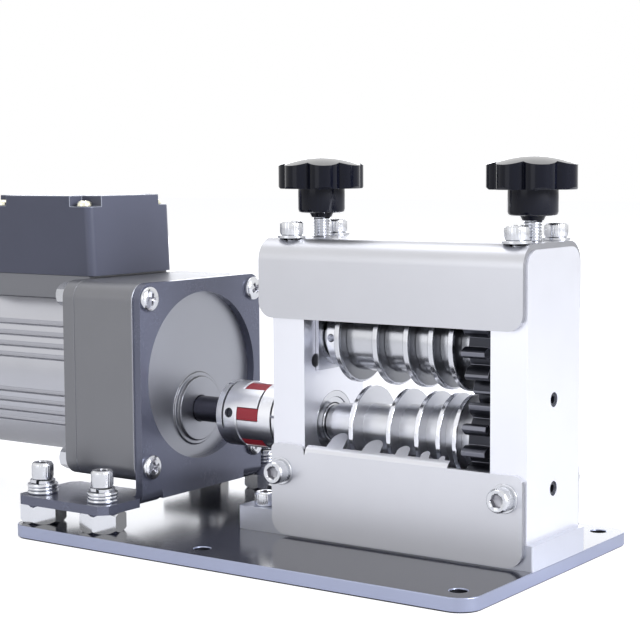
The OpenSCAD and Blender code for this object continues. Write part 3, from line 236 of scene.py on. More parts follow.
def loft(bm, levels, angles, place, capped=True, inner_from=None):
    """Skins a form through its levels. From level inner_from on the faces take the second material."""
    rings = []
    for level in levels:
        ring = []
        for angle in angles:
            radius, z = level(angle)
            point = Vector((radius * math.cos(angle), radius * math.sin(angle), z))
            ring.append(bm.verts.new(place @ point))
        rings.append(ring)
    count = len(angles)
    for k, (low, high) in enumerate(zip(rings, rings[1:])):
        for i in range(count):
            j = (i + 1) % count
            face = bm.faces.new((low[i], low[j], high[j], high[i]))
            face.material_index = int(inner_from is not None and k >= inner_from)
    if capped:
        bm.faces.new(list(reversed(rings[0])))
        face = bm.faces.new(rings[-1])
        face.material_index = int(inner_from is not None)


def threaded(bm, radius, pitch, z0, z1, place, sides=24):
    """A threaded rod from z0 to z1 with true helical crests and roots."""
    depth = 0.55 * pitch
    spare_turns = 2
    rows = 2 * int((z1 - z0) / pitch + 2 * spare_turns)
    rod = bmesh.new()
    grid = []
    for k in range(rows):
        ring = []
        for i in range(sides):
            angle = 2 * math.pi * i / sides
            z = z0 - spare_turns * pitch + pitch * (k / 2 + i / sides)
            r = radius if k % 2 else radius - depth
            ring.append(rod.verts.new((r * math.cos(angle), r * math.sin(angle), z)))
        grid.append(ring)
    for k in range(rows - 1):
        for i in range(sides - 1):
            rod.faces.new((grid[k][i], grid[k][i + 1], grid[k + 1][i + 1], grid[k + 1][i]))
        # After a whole turn the last column meets the first one two rows on
        if k + 3 < rows:
            rod.faces.new((grid[k][sides - 1], grid[k + 2][0], grid[k + 3][0], grid[k + 1][sides - 1]))
    for z, normal in ((z0, (0, 0, -1)), (z1, (0, 0, 1))):
        cut = bmesh.ops.bisect_plane(rod, geom=rod.verts[:] + rod.edges[:] + rod.faces[:],
                                     plane_co=(0, 0, z), plane_no=normal, clear_outer=True)
        rim = [e for e in cut["geom_cut"] if isinstance(e, bmesh.types.BMEdge)]
        bmesh.ops.edgeloop_fill(rod, edges=rim)
    bmesh.ops.recalc_face_normals(rod, faces=rod.faces[:])
    bmesh.ops.transform(rod, matrix=place, verts=rod.verts[:])
    merge_into(bm, rod)
    rod.free()


def merge_into(bm, other):
    """Adds a copy of another form's faces."""
    made = {v: bm.verts.new(v.co) for v in other.verts}
    for face in other.faces:
        bm.faces.new([made[v] for v in face.verts])


def new_piece(node, ending, bm, materials):
    """Makes an object of the form that stands for a CAD node, on the node's body."""
    name = f"{node}_{ending}"
    bmesh.ops.recalc_face_normals(bm, faces=bm.faces[:])
    mesh = bpy.data.meshes.new(name)
    bm.to_mesh(mesh)
    bm.free()
    mesh.polygons.foreach_set("use_smooth", [True] * len(mesh.polygons))
    mesh.set_sharp_from_angle(angle=SMOOTH_ANGLE)
    for material in materials:
        mesh.materials.append(material)
    piece = bpy.data.objects.new(name, mesh)
    bpy.context.scene.collection.objects.link(piece)
    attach(piece, body_of_node(node))
    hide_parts(node)
    return piece


def node_form(node):
    """A clean copy of a CAD node's mesh: joined corners and whole flat faces."""
    source = frame["nodes"][node].data
    bm = bmesh.new()
    verts = [bm.verts.new(v.co) for v in source.vertices]
    for polygon in source.polygons:
        bm.faces.new([verts[i] for i in polygon.vertices])
    bmesh.ops.remove_doubles(bm, verts=bm.verts[:], dist=JOIN)
    bmesh.ops.dissolve_degenerate(bm, edges=bm.edges[:], dist=JOIN / 2)
    bmesh.ops.dissolve_limit(bm, angle_limit=FLAT_ANGLE, verts=bm.verts[:], edges=bm.edges[:])
    return bm


def soften(piece, width, angle, segments, edge_material, weighted):
    """Breaks a piece's sharp edges as a file or a casting does."""
    bevel = piece.modifiers.new("broken edges", "BEVEL")
    bevel.width = width
    bevel.segments = segments
    bevel.limit_method = "WEIGHT" if weighted else "ANGLE"
    bevel.angle_limit = math.radians(angle)
    bevel.harden_normals = True
    bevel.use_clamp_overlap = True
    bevel.miter_outer = "MITER_ARC"
    bevel.material = edge_material


def dress(node, materials, width, angle=32.0, segments=2, edge_material=-1, choose=None, joint_z=None,
          under=0.0):
    """Stands a softened copy of a CAD node in its place.

    Edges sharper than angle, in degrees, are broken and take edge_material, or their faces' own if it is
    -1. choose picks each face's material. Edges at the height joint_z stay sharp, for a tight joint.
    under is the width of a chamfer round the underside, which takes the last material."""
    bm = node_form(node)
    bm.normal_update()
    if choose:
        for face in bm.faces:
            face.material_index = choose(face)
    if under:
        lowest = min(vert.co.z for vert in bm.verts)
        corner = 1.0
        rim = [edge for edge in bm.edges if edge.calc_face_angle(0.0) > corner
               and all(vert.co.z - lowest < SAME_HEIGHT for vert in edge.verts)]
        bmesh.ops.bevel(bm, geom=rim, offset=under, segments=1, affect="EDGES", material=len(materials) - 1)
    if joint_z is not None:
        weight = bm.edges.layers.float.new("bevel_weight_edge")
        for edge in bm.edges:
            at_joint = max(abs(vert.co.z - joint_z) for vert in edge.verts) < SAME_HEIGHT
            turn = math.degrees(edge.calc_face_angle(0.0))
            edge[weight] = float(turn > angle and not at_joint)
    piece = new_piece(node, "finished", bm, materials)
    soften(piece, width, angle, segments, edge_material, joint_z is not None)


def solids(node):
    """The corner points of each separate solid of a CAD node."""
    bm = node_form(node)
    left = set(bm.verts)
    found = []
    while left:
        stack = [left.pop()]
        group = []
        while stack:
            vert = stack.pop()
            group.append(vert.co.copy())
            for edge in vert.link_edges:
                other = edge.other_vert(vert)
                if other in left:
                    left.remove(other)
                    stack.append(other)
        found.append(group)
    bm.free()
    found.sort(key=lambda points: tuple(round(min(p[i] for p in points), 5) for i in range(3)))
    return found


class Screw:
    """Where one screw of a CAD node stands, and its sizes. Z runs to the head from its seat.

    The axis is X, Y or Z, or None for the screw's longest side."""

    def __init__(self, points, axis):
        low, high = span(points)
        size = [b - a for a, b in zip(low, high)]
        along = AXES[axis] if axis else size.index(max(size))
        across = [i for i in range(3) if i != along]
        centre = [(a + b) / 2 for a, b in zip(low, high)]
        self.head_r = max(size[i] for i in across) / 2

        def off_axis(p):
            return math.hypot(*(p[i] - centre[i] for i in across))
        head_zone = 0.9 * self.head_r
        shank_zone = 0.75 * self.head_r
        head = [p[along] for p in points if off_axis(p) > head_zone]
        shank = [p[along] for p in points if off_axis(p) < shank_zone]
        up = (min(head) + max(head)) / 2 > centre[along]
        seat = min(head) if up else max(head)
        top = high[along] if up else low[along]
        tip = min(shank) if up else max(shank)
        self.head_h = abs(top - seat)
        self.shank_l = abs(seat - tip)
        near_tip = 0.6 * self.shank_l
        self.shank_r = max(off_axis(p) for p in points if abs(p[along] - tip) < near_tip)
        z = Vector((0, 0, 0))
        z[along] = 1 if up else -1
        origin = Vector(centre)
        origin[along] = seat
        self.place = Matrix.Translation(origin) @ z.to_track_quat("Z", "Y").to_matrix().to_4x4()


def socket_screw(bm, screw, pitch, ridges, depth, turn):
    """A cap screw with a ridged head, a hexagon socket and a cut thread."""
    r, h, d = screw.head_r, screw.head_h, 2 * screw.shank_r
    key = 0.83 * d
    skirt = r - depth
    chamfer = 0.07 * r
    points_per_ridge = 4
    seat = [circle(skirt * 0.9, 0), circle(skirt, chamfer), circle(skirt, 0.13 * h)]
    knurl = [ridged(r, depth, ridges, 0.2 * h), ridged(r, depth, ridges, h - 0.16 * h)]
    crown = [circle(skirt, h - 0.1 * h), circle(skirt - chamfer * 1.6, h), circle(key * 0.585, h)]
    socket = [hexagon(key, h - 0.04 * d, turn), hexagon(key, h - 0.44 * d, turn),
              circle(0.05 * d, h - 0.52 * d)]
    outside = seat + knurl + crown
    loft(bm, outside + socket, even_angles(ridges * points_per_ridge), screw.place, inner_from=len(outside))
    threaded(bm, screw.shank_r, pitch, -screw.shank_l, 0.1 * h, screw.place)


def cross_angles():
    """Angles that hold the corners of a cross recess."""
    wing = CROSS_WING
    part = [-45, -38, -31, -24, -wing, -8, 0, 8, wing, 24, 31, 38]
    return [math.radians(90 * k + a) for k in range(4) for a in part]


def cross_screw(bm, screw, pitch, turn):
    """A pan head screw with a cross recess and a cut thread."""
    r, h = screw.head_r, screw.head_h
    reach = 0.52 * r
    half = reach * math.tan(math.radians(CROSS_WING))

    def dome(radius):
        share = min(radius / r, 1.0)
        return h * (0.36 + 0.64 * math.sqrt(max(0.0, 1 - share ** 2.6)))
    place = screw.place @ Matrix.Rotation(turn, 4, "Z")
    outside = [circle(0.94 * r, 0), circle(r, 0.06 * h), circle(r, dome(r) * 0.85)]
    outside += [circle(r * s, dome(r * s)) for s in (0.985, 0.94, 0.86, 0.76, 0.66, 0.6)]
    outside += [cross_level(reach, half, dome)]
    recess = [
        cross_level(reach * 0.93, half * 0.85, dome, 0.12 * h),
        cross_level(reach * 0.45, half * 0.6, dome, 0.62 * h), circle(0.02 * r, 0.25 * h),
    ]
    loft(bm, outside + recess, cross_angles(), place, inner_from=len(outside))
    threaded(bm, screw.shank_r, pitch, -screw.shank_l, 0.1 * h, screw.place)


# Materials

def node_tree(name):
    """A new material with its shader, ready for its nodes."""
    material = bpy.data.materials.new(name)
    material.use_nodes = True
    tree = material.node_tree
    return material, tree, tree.nodes["Principled BSDF"]


def add_node(tree, kind, **values):
    """A node with its settings and its sockets' values."""
    node = tree.nodes.new(kind)
    for key, value in values.items():
        if hasattr(node, key):
            setattr(node, key, value)
        else:
            node.inputs[key.replace("_", " ")].default_value = value
    return node


def calculate(tree, operation, *inputs):
    """The result of a sum whose inputs are numbers or other nodes' outputs."""
    node = add_node(tree, "ShaderNodeMath", operation=operation)
    for socket, value in zip(node.inputs, inputs):
        if isinstance(value, bpy.types.NodeSocket):
            tree.links.new(value, socket)
        else:
            socket.default_value = value
    return node.outputs["Value"]


def brushed_coordinates(tree, source, direction):
    """Coordinates that are drawn out along X, Y or Z."""
    stretch = [1.0, 1.0, 1.0]
    stretch[AXES[direction]] = BRUSH_SHARE
    mapping = add_node(tree, "ShaderNodeMapping", Scale=stretch)
    tree.links.new(source, mapping.inputs["Vector"])
    return mapping.outputs["Vector"]


def turned_coordinates(tree, source, centre):
    """Coordinates that stay the same round an axis along X, as a lathe leaves them."""
    link = tree.links.new
    shift = add_node(tree, "ShaderNodeVectorMath", operation="SUBTRACT")
    shift.inputs[1].default_value = centre
    link(source, shift.inputs[0])
    parts = add_node(tree, "ShaderNodeSeparateXYZ")
    link(shift.outputs["Vector"], parts.inputs["Vector"])
    across = add_node(tree, "ShaderNodeCombineXYZ")
    link(parts.outputs["Y"], across.inputs["X"])
    link(parts.outputs["Z"], across.inputs["Y"])
    radius = add_node(tree, "ShaderNodeVectorMath", operation="LENGTH")
    link(across.outputs["Vector"], radius.inputs[0])
    rings = add_node(tree, "ShaderNodeCombineXYZ")
    link(parts.outputs["X"], rings.inputs["X"])
    link(radius.outputs["Value"], rings.inputs["Y"])
    return rings.outputs["Vector"]


def finish_material(name, color, metallic, roughness, grain_size, grain_depth, brushed=None, turned=None,
                    vary=0.08, rough_vary=0.08, blotch_size=18, coat=0.0, coat_roughness=0.1, specular=0.5):
    """A surface with a grain, uneven gloss and slow colour changes. Its sizes are in millimetres.

    The grain is brushed along X, Y or Z, turned round an axis through a point, or else even."""
    material, tree, shader = node_tree(name)
    link = tree.links.new
    shader.inputs["Metallic"].default_value = metallic
    shader.inputs["Specular IOR Level"].default_value = specular
    shader.inputs["Coat Weight"].default_value = coat
    shader.inputs["Coat Roughness"].default_value = coat_roughness
    source = add_node(tree, "ShaderNodeTexCoord").outputs["Object"]
    along = source
    if brushed is not None:
        along = brushed_coordinates(tree, source, brushed)
    if turned is not None:
        along = turned_coordinates(tree, source, turned)
    fine = add_node(tree, "ShaderNodeTexNoise", Scale=1 / (grain_size * MM), Detail=3.0, Roughness=0.6)
    link(along, fine.inputs["Vector"])
    slow = add_node(tree, "ShaderNodeTexNoise", Scale=1 / (blotch_size * MM), Detail=4.0, Roughness=0.55)
    link(source, slow.inputs["Vector"])
    half_slow = calculate(tree, "MULTIPLY", slow.outputs["Fac"], 0.5)
    blend = calculate(tree, "MULTIPLY_ADD", fine.outputs["Fac"], 0.5, half_slow)
    mixed = add_node(tree, "ShaderNodeMix", data_type="RGBA")
    mixed.inputs["A"].default_value = (*tone(color, 1 - vary), 1)
    mixed.inputs["B"].default_value = (*tone(color, 1 + vary), 1)
    link(blend, mixed.inputs["Factor"])
    link(mixed.outputs["Result"], shader.inputs["Base Color"])
    gloss = add_node(tree, "ShaderNodeMapRange")
    gloss.inputs["To Min"].default_value = max(0.02, roughness - rough_vary)
    gloss.inputs["To Max"].default_value = roughness + rough_vary
    link(blend, gloss.inputs["Value"])
    link(gloss.outputs["Result"], shader.inputs["Roughness"])
    bump = add_node(tree, "ShaderNodeBump", Strength=1.0, Distance=grain_depth * MM)
    link(fine.outputs["Fac"], bump.inputs["Height"])
    link(bump.outputs["Normal"], shader.inputs["Normal"])
    return material


def tone(color, factor):
    """A colour made lighter or darker by a factor."""
    return [min(1.0, c * factor) for c in color]


MATERIALS = {}


def make_materials():
    """Makes each finish once and keeps it by name.

    After the name come colour, metallic share, roughness, and the grain's size and depth."""
    if MATERIALS:
        return
    colors = bpy.context.scene.stripper_finish
    feed_axis = middle("feed_shaft")
    blade_axis = middle("blade_shaft")
    motor_axis = middle("motor_flange")

    def add(name, *args, **values):
        MATERIALS[name] = finish_material(name, *args, **values)

    # Base, bed and foot bracket
    add("base paint", colors.base_paint, 0.0, 0.17, 0.5, 0.001, vary=0.12, rough_vary=0.03, specular=0.28)
    # This dark finish also colours the chamfer under the base plate, as a painted contact shadow.
    add("bore and painted contact shadow", (0.035, 0.036, 0.045), 0.8, 0.45, 0.3, 0.01)
    add("sawn edge", (0.38, 0.41, 0.54), 1.0, 0.34, 0.12, 0.006, brushed="X")
    add("bed steel", (0.66, 0.68, 0.76), 1.0, 0.3, 0.14, 0.004, brushed="X")
    add("bracket paint", colors.bracket_paint, 0.6, 0.26, 0.3, 0.004)
    # Lighter colour on the bracket's broken edges: a painted highlight.
    add("bracket edge highlight", (0.36, 0.37, 0.43), 0.6, 0.35, 0.4, 0.006)

    # Motor, gear head and terminal box
    add("box paint", colors.box_paint, 0.0, 0.3, 0.3, 0.004, specular=0.25)
    # Lighter colour on the terminal box's broken edges: a painted highlight.
    add("box edge highlight", (0.30, 0.32, 0.38), 0.3, 0.35, 0.4, 0.005)
    add("casting", colors.casting, 0.75, 0.4, 0.45, 0.012, vary=0.07)
    add("machined casting", (0.40, 0.41, 0.45), 1.0, 0.4, 0.25, 0.004, turned=motor_axis, vary=0.06)
    add("motor shell", (0.53, 0.535, 0.575), 1.0, 0.34, 0.22, 0.008, brushed="X")
    add("motor rim", (0.64, 0.65, 0.70), 1.0, 0.28, 0.2, 0.004, turned=motor_axis)
    add("moulded cover", (0.022, 0.022, 0.026), 0.0, 0.5, 0.6, 0.02)
    add("matt plastic", (0.018, 0.018, 0.02), 0.0, 0.55, 0.5, 0.02)
    add("core steel", (0.30, 0.31, 0.33), 1.0, 0.45, 0.5, 0.02, turned=motor_axis)
    add("dark shaft", (0.085, 0.085, 0.11), 0.9, 0.26, 0.2, 0.003, turned=feed_axis)

    # Fasteners and springs
    add("zinc", colors.zinc, 1.0, 0.21, 1.4, 0.006, vary=0.07, rough_vary=0.07, blotch_size=6)
    add("nut zinc", tone(colors.zinc, 1.12), 1.0, 0.13, 1.8, 0.005, vary=0.05, rough_vary=0.05,
        blotch_size=6)
    add("thread zinc", colors.zinc, 1.0, 0.2, 0.5, 0.004)
    add("yellow zinc", (0.92, 0.89, 0.72), 1.0, 0.28, 1.0, 0.006)
    # The socket finish is darker than zinc: painted shade inside the screws' hexagon sockets and cross
    # recesses.
    add("socket", (0.40, 0.40, 0.43), 1.0, 0.3, 0.5, 0.01, vary=0.15)
    add("black oxide", colors.black, 0.55, 0.3, 0.6, 0.006, vary=0.2)

    # Coupling
    add("bright alloy", (0.90, 0.91, 0.95), 1.0, 0.3, 0.16, 0.0015, turned=feed_axis, vary=0.05)
    add("spider", colors.spider, 0.0, 0.42, 0.8, 0.01)

    # Side plates, blocks and covers
    add("side plate", colors.alloy, 1.0, 0.36, 0.22, 0.006, vary=0.03)
    add("block steel", (0.58, 0.59, 0.64), 1.0, 0.3, 0.15, 0.004, brushed="Z")
    add("bearing steel", (0.66, 0.67, 0.70), 1.0, 0.16, 0.3, 0.002, turned=feed_axis)
    add("cover sheet", colors.sheet, 1.0, 0.38, 0.1, 0.0022, brushed="X", vary=0.05, rough_vary=0.05)
    # The lower cover takes a lighter copy of the cover sheet: painted light.
    add("lower sheet painted lighter", tone(colors.sheet, 1.18), 1.0, 0.38, 0.1, 0.0022, brushed="X", vary=0.05,
        rough_vary=0.05)
    # Dull cut sheet ends, darkened further as painted shade where the covers meet the side plates.
    add("cut sheet and painted shade", tone(colors.sheet, 0.62), 1.0, 0.4, 0.1, 0.004, brushed="Y")

    # Rollers, discs and gears
    add("feed roller", tone(colors.steel, 0.92), 1.0, 0.34, 0.13, 0.006, turned=feed_axis, vary=0.06)
    # The flange rims' lighter colour is a painted highlight; their lower roughness gives the rims their
    # gloss.
    add("flange rim highlight", tone(colors.steel, 1.18), 1.0, 0.16, 0.12, 0.002, turned=feed_axis, vary=0.04,
        rough_vary=0.04)
    add("blade roller", tone(colors.steel, 0.84), 1.0, 0.24, 0.16, 0.004, turned=blade_axis, vary=0.07,
        rough_vary=0.05)
    add("collar steel", tone(colors.steel, 1.2), 1.0, 0.17, 0.2, 0.002, turned=blade_axis, vary=0.04,
        rough_vary=0.04)
    add("blade disc", tone(colors.steel, 0.94), 1.0, 0.2, 0.12, 0.003, turned=blade_axis, vary=0.06)
    # Darker finish on the discs' right faces: painted shade.
    add("disc face shade", (0.24, 0.245, 0.26), 1.0, 0.3, 0.1, 0.004, turned=blade_axis)
    # Lighter finish on the gears' tooth tips and edges: a painted highlight.
    add("gear tip highlight", (0.20, 0.205, 0.24), 0.95, 0.3, 0.4, 0.005, vary=0.15)

    # Knobs
    add("knob plastic", colors.knob, 0.0, 0.15, 1.2, 0.002, vary=0.2, rough_vary=0.03, specular=0.22)
    # A more reflective copy of the knob plastic on the domes' tops: a painted sheen.
    add("knob crown sheen", colors.knob, 0.0, 0.08, 1.2, 0.001, vary=0.2, rough_vary=0.02, coat=1.0,
        coat_roughness=0.06, specular=1.0)


def keep_node(node, material):
    """A CAD node whose shape is right stays and takes its finish."""
    make_materials()
    data = frame["nodes"][node].data
    data.materials.clear()
    data.materials.append(MATERIALS[material])


def finishes(*names):
    """The materials of those names, made if they aren't yet."""
    make_materials()
    return [MATERIALS[name] for name in names]


# Operators

class STRIPPER_OT_stage(bpy.types.Operator):
    """Set up the floor, the light and the camera"""

    bl_idname = "stripper.stage"
    bl_label = "Stage"

    def execute(self, context):
        scene = context.scene
        settings = scene.stripper_stage
        scene.view_settings.view_transform = "Standard"
        self.camera(scene, settings)
        self.floor(scene, settings)
        self.world(scene, settings)
        self.lamps(scene, settings)
        return {"FINISHED"}

    def camera(self, scene, settings):
        """The camera, turned by yaw, then pitch, then roll."""
        yaw, pitch, roll = settings.yaw, settings.pitch, settings.roll
        flat = math.cos(pitch)
        ahead = Vector((-math.sin(yaw) * flat, math.cos(yaw) * flat, -math.sin(pitch)))
        right = Vector((math.cos(yaw), math.sin(yaw), 0))
        up = right.cross(ahead)
        side = right * math.cos(roll) + up * math.sin(roll)
        top = up * math.cos(roll) - right * math.sin(roll)
        data = bpy.data.cameras.new("camera")
        data.sensor_width = 36
        data.lens = settings.lens
        data.clip_start = 0.01
        camera = bpy.data.objects.new("camera", data)
        scene.collection.objects.link(camera)
        turn = Matrix((side, top, -ahead)).transposed().to_4x4()
        camera.matrix_world = Matrix.Translation(settings.place) @ turn
        scene.camera = camera

    def floor(self, scene, settings):
        """A wide pale floor that keeps the machine's shadow."""
        reach = 6.0
        bm = bmesh.new()
        corners = [bm.verts.new((x * reach, y * reach, 0)) for x, y in ((-1, -1), (1, -1), (1, 1), (-1, 1))]
        bm.faces.new(corners)
        mesh = bpy.data.meshes.new("floor")
        bm.to_mesh(mesh)
        bm.free()
        floor = bpy.data.objects.new("floor", mesh)
        floor.location.z = cad_box[0].z
        scene.collection.objects.link(floor)
        mesh.materials.append(self.floor_material(settings))

    def floor_material(self, settings):
        """A pale matt floor that glows a little for the camera, and less in metal and glass."""
        material = bpy.data.materials.new("floor white")
        material.use_nodes = True
        tree = material.node_tree
        link = tree.links.new
        tree.nodes.clear()
        output = add_node(tree, "ShaderNodeOutputMaterial")
        diffuse = add_node(tree, "ShaderNodeBsdfDiffuse", Color=(0.93, 0.93, 0.94, 1))
        glow = add_node(tree, "ShaderNodeEmission", Color=(1, 1, 1, 1))
        total = add_node(tree, "ShaderNodeAddShader")
        path = add_node(tree, "ShaderNodeLightPath").outputs
        mirrored = calculate(tree, "MULTIPLY", self.mirrored_ray(tree, path), settings.floor_mirrored)
        strength = calculate(tree, "MULTIPLY_ADD", path["Is Camera Ray"], settings.floor_seen, mirrored)
        link(strength, glow.inputs["Strength"])
        link(diffuse.outputs["BSDF"], total.inputs[0])
        link(glow.outputs["Emission"], total.inputs[1])
        link(total.outputs["Shader"], output.inputs["Surface"])
        return material

    def mirrored_ray(self, tree, path):
        """1 for a ray that gloss or glass sends, else 0."""
        return calculate(tree, "MAXIMUM", path["Is Glossy Ray"], path["Is Transmission Ray"])

    def world(self, scene, settings):
        """Soft light from all round. The camera, metal and glass see plain white instead."""
        world = bpy.data.worlds.new("studio")
        scene.world = world
        world.use_nodes = True
        tree = world.node_tree
        link = tree.links.new
        tree.nodes.clear()
        output = add_node(tree, "ShaderNodeOutputWorld")
        light = add_node(tree, "ShaderNodeBackground", Color=(0.97, 0.98, 1.0, 1), Strength=settings.sky)
        white = add_node(tree, "ShaderNodeBackground", Color=(1, 1, 1, 1), Strength=1.0)
        path = add_node(tree, "ShaderNodeLightPath").outputs
        seen = calculate(tree, "MAXIMUM", path["Is Camera Ray"], self.mirrored_ray(tree, path))
        mix = add_node(tree, "ShaderNodeMixShader")
        link(seen, mix.inputs["Fac"])
        link(light.outputs["Background"], mix.inputs[1])
        link(white.outputs["Background"], mix.inputs[2])
        link(mix.outputs["Shader"], output.inputs["Surface"])

    def lamps(self, scene, settings):
        """Large soft lamps, each with its place, its size and its power in watts."""
        machine_middle = Vector((0, 0, 0.07))
        square = (0.9, 0.9)
        for name, place, size, power in (
            ("key", (1.75, -0.15, 0.85), square, settings.key),
            ("front", (-0.3, -1.6, 0.45), square, settings.key * settings.front),
            ("top", (-0.5, 0.1, 1.5), square, settings.key * settings.top),
            ("back", (-1.85, 2.5, 0.72), (3.2, 0.8), settings.back),
        ):
            data = bpy.data.lights.new(name, "AREA")
            data.shape = "RECTANGLE"
            data.size, data.size_y = size
            data.energy = power
            data.color = (0.92, 0.94, 1.0)
            lamp = bpy.data.objects.new(name, data)
            scene.collection.objects.link(lamp)
            lamp.location = place
            lamp.rotation_mode = "QUATERNION"
            lamp.rotation_quaternion = (machine_middle - Vector(place)).to_track_quat("-Z", "Y")


class STRIPPER_OT_base(bpy.types.Operator):
    """Dress the base plate, the bed plate and the screws under the bed"""

    bl_idname = "stripper.base"
    bl_label = "Base and bed"

    def execute(self, context):
        sizes = context.scene.stripper_sizes
        low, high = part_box("base_plate")
        edge_zone = 4 * MM
        level_share = 0.7

        def finish(face):
            centre = face.calc_center_median()
            inside = min(centre.x - low.x, high.x - centre.x, centre.y - low.y, high.y - centre.y)
            if abs(face.normal.z) > level_share:
                return 0
            return 2 if inside > edge_zone else 1
        # The chamfer under the plate takes the third, dark finish: a painted contact shadow under the
        # plate's edge.
        dress("base_plate", finishes("base paint", "sawn edge", "bore and painted contact shadow"), sizes.edge, angle=50,
              choose=finish, edge_material=1, under=sizes.base_chamfer)
        dress("bed_plate", finishes("bed steel"), sizes.edge)
        keep_node("bed_screws", "zinc")
        return {"FINISHED"}


class STRIPPER_OT_bracket(bpy.types.Operator):
    """Dress the motor's foot bracket"""

    bl_idname = "stripper.bracket"
    bl_label = "Foot bracket"

    def execute(self, context):
        sizes = context.scene.stripper_sizes
        # The broken edges take the lighter finish: a painted highlight along the bracket's edges.
        dress("motor_bracket", finishes("bracket paint", "bracket edge highlight"), sizes.edge * 0.7,
              edge_material=1)
        return {"FINISHED"}


class STRIPPER_OT_feet(bpy.types.Operator):
    """Dress the foot bolts, their washers and the spacer nuts"""

    bl_idname = "stripper.feet"
    bl_label = "Foot fasteners"

    def execute(self, context):
        sizes = context.scene.stripper_sizes
        screw_set("foot_bolts", "zinc", sizes)
        self.stacked_washers()
        dress("spacer_nuts", finishes("nut zinc"), sizes.edge * 0.8, angle=20, segments=3)
        self.spring_washers()
        return {"FINISHED"}

    def stacked_washers(self):
        """Three rounded washers one on the other, with the grooves between them."""
        bm = bmesh.new()
        count = 3
        shift = 0.25 * MM
        groove = 0.5 * MM
        shoulder = 0.12 * MM
        profile = ((groove, 0), (shoulder, 0.14), (0, 0.4), (0, 0.6), (shoulder, 0.86), (groove, 1))
        for points in solids("foot_flat_washers"):
            low, high = span(points)
            centre = (low + high) / 2
            outer = (high.x - low.x) / 2
            bore = min(math.hypot(p.x - centre.x, p.y - centre.y) for p in points)
            step = (high.z - low.z) / count
            levels = [circle(bore, 0)]
            for k in range(count):
                reach = outer - shift * (k % 2)
                levels += [circle(reach - inward, (k + up) * step) for inward, up in profile]
            levels += [circle(bore, count * step), circle(bore, 0)]
            place = Matrix.Translation((centre.x, centre.y, low.z))
            loft(bm, levels, even_angles(64), place, capped=False)
        bmesh.ops.remove_doubles(bm, verts=bm.verts[:], dist=0.01 * MM)
        new_piece("foot_flat_washers", "stacked", bm, finishes("zinc"))

    def spring_washers(self):
        """Split rings with a gap, a little sprung open."""
        bm = bmesh.new()
        steps = 44
        gap = math.radians(14)
        start = math.radians(-70)
        broken = 0.25 * MM
        for points in solids("foot_spring_washers"):
            low, high = span(points)
            centre = (low + high) / 2
            outer = (high.x - low.x) / 2
            inner = outer * 0.56
            thick = (high.z - low.z) * 0.82
            rise = (high.z - low.z) - thick
            section = ((inner, 0), (outer - broken, 0), (outer, broken),
                       (outer, thick - broken), (outer - broken, thick), (inner, thick))
            rings = []
            for i in range(steps + 1):
                share = i / steps
                angle = start + gap / 2 + share * (2 * math.pi - gap)
                outward = Vector((math.cos(angle), math.sin(angle), 0))
                base = Vector((centre.x, centre.y, low.z + rise * share))
                rings.append([bm.verts.new(base + outward * r + Vector((0, 0, h))) for r, h in section])
            for a, b in zip(rings, rings[1:]):
                for k in range(len(a)):
                    j = (k + 1) % len(a)
                    bm.faces.new((a[k], a[j], b[j], b[k]))
            bm.faces.new(rings[0])
            bm.faces.new(rings[-1])
        new_piece("foot_spring_washers", "split", bm, finishes("zinc"))


def screw_set(node, material, sizes, pitch=None, cross=False, axis=None):
    """Stands detailed screws in the place of a CAD node's plain ones, each turned further than the last."""
    bm = bmesh.new()
    pitch = pitch or sizes.screw_pitch
    first_turn = 0.35
    next_turn = 1.1 if cross else 0.7
    for k, points in enumerate(solids(node)):
        screw = Screw(points, axis)
        turn = first_turn + next_turn * k
        if cross:
            cross_screw(bm, screw, pitch, turn)
        else:
            socket_screw(bm, screw, pitch, sizes.knurl, sizes.knurl_depth, turn)
    # The sockets and cross recesses take the second finish: painted shade inside them.
    new_piece(node, "detailed", bm, finishes(material, "socket"))


class STRIPPER_OT_gear_head(bpy.types.Operator):
    """Dress the gear head, its flange, screws, nuts and output shaft"""

    bl_idname = "stripper.gear_head"
    bl_label = "Gear head"

    def execute(self, context):
        sizes = context.scene.stripper_sizes
        for node in ("gear_head", "motor_flange"):
            dress(node, finishes("casting", "machined casting"), sizes.edge, segments=3,
                  choose=self.machined)
        screw_set("gear_head_screws", "zinc", sizes, cross=True)
        dress("gear_head_nuts", finishes("zinc"), sizes.fine_edge, angle=20)
        dress("output_shaft", finishes("dark shaft"), sizes.fine_edge)
        return {"FINISHED"}

    def machined(self, face):
        """The castings' end faces are turned flat."""
        return int(abs(face.normal.x) > FACING)


class STRIPPER_OT_motor(bpy.types.Operator):
    """Dress the motor's housing, caps, fan and inner parts"""

    bl_idname = "stripper.motor"
    bl_label = "Motor"

    def execute(self, context):
        sizes = context.scene.stripper_sizes
        dress("motor_housing", finishes("motor shell"), sizes.edge * 0.7)
        dress("rear_cap", finishes("motor rim"), sizes.edge)
        dress("fan_cover", finishes("moulded cover"), sizes.edge)
        dress("cooling_fan", finishes("matt plastic"), sizes.fine_edge)
        screw_set("rear_cap_screws", "zinc", sizes, pitch=sizes.small_pitch)
        screw_set("fan_cover_screws", "zinc", sizes, pitch=sizes.fan_pitch, cross=True)
        keep_node("stator", "core steel")
        keep_node("rotor", "core steel")
        return {"FINISHED"}


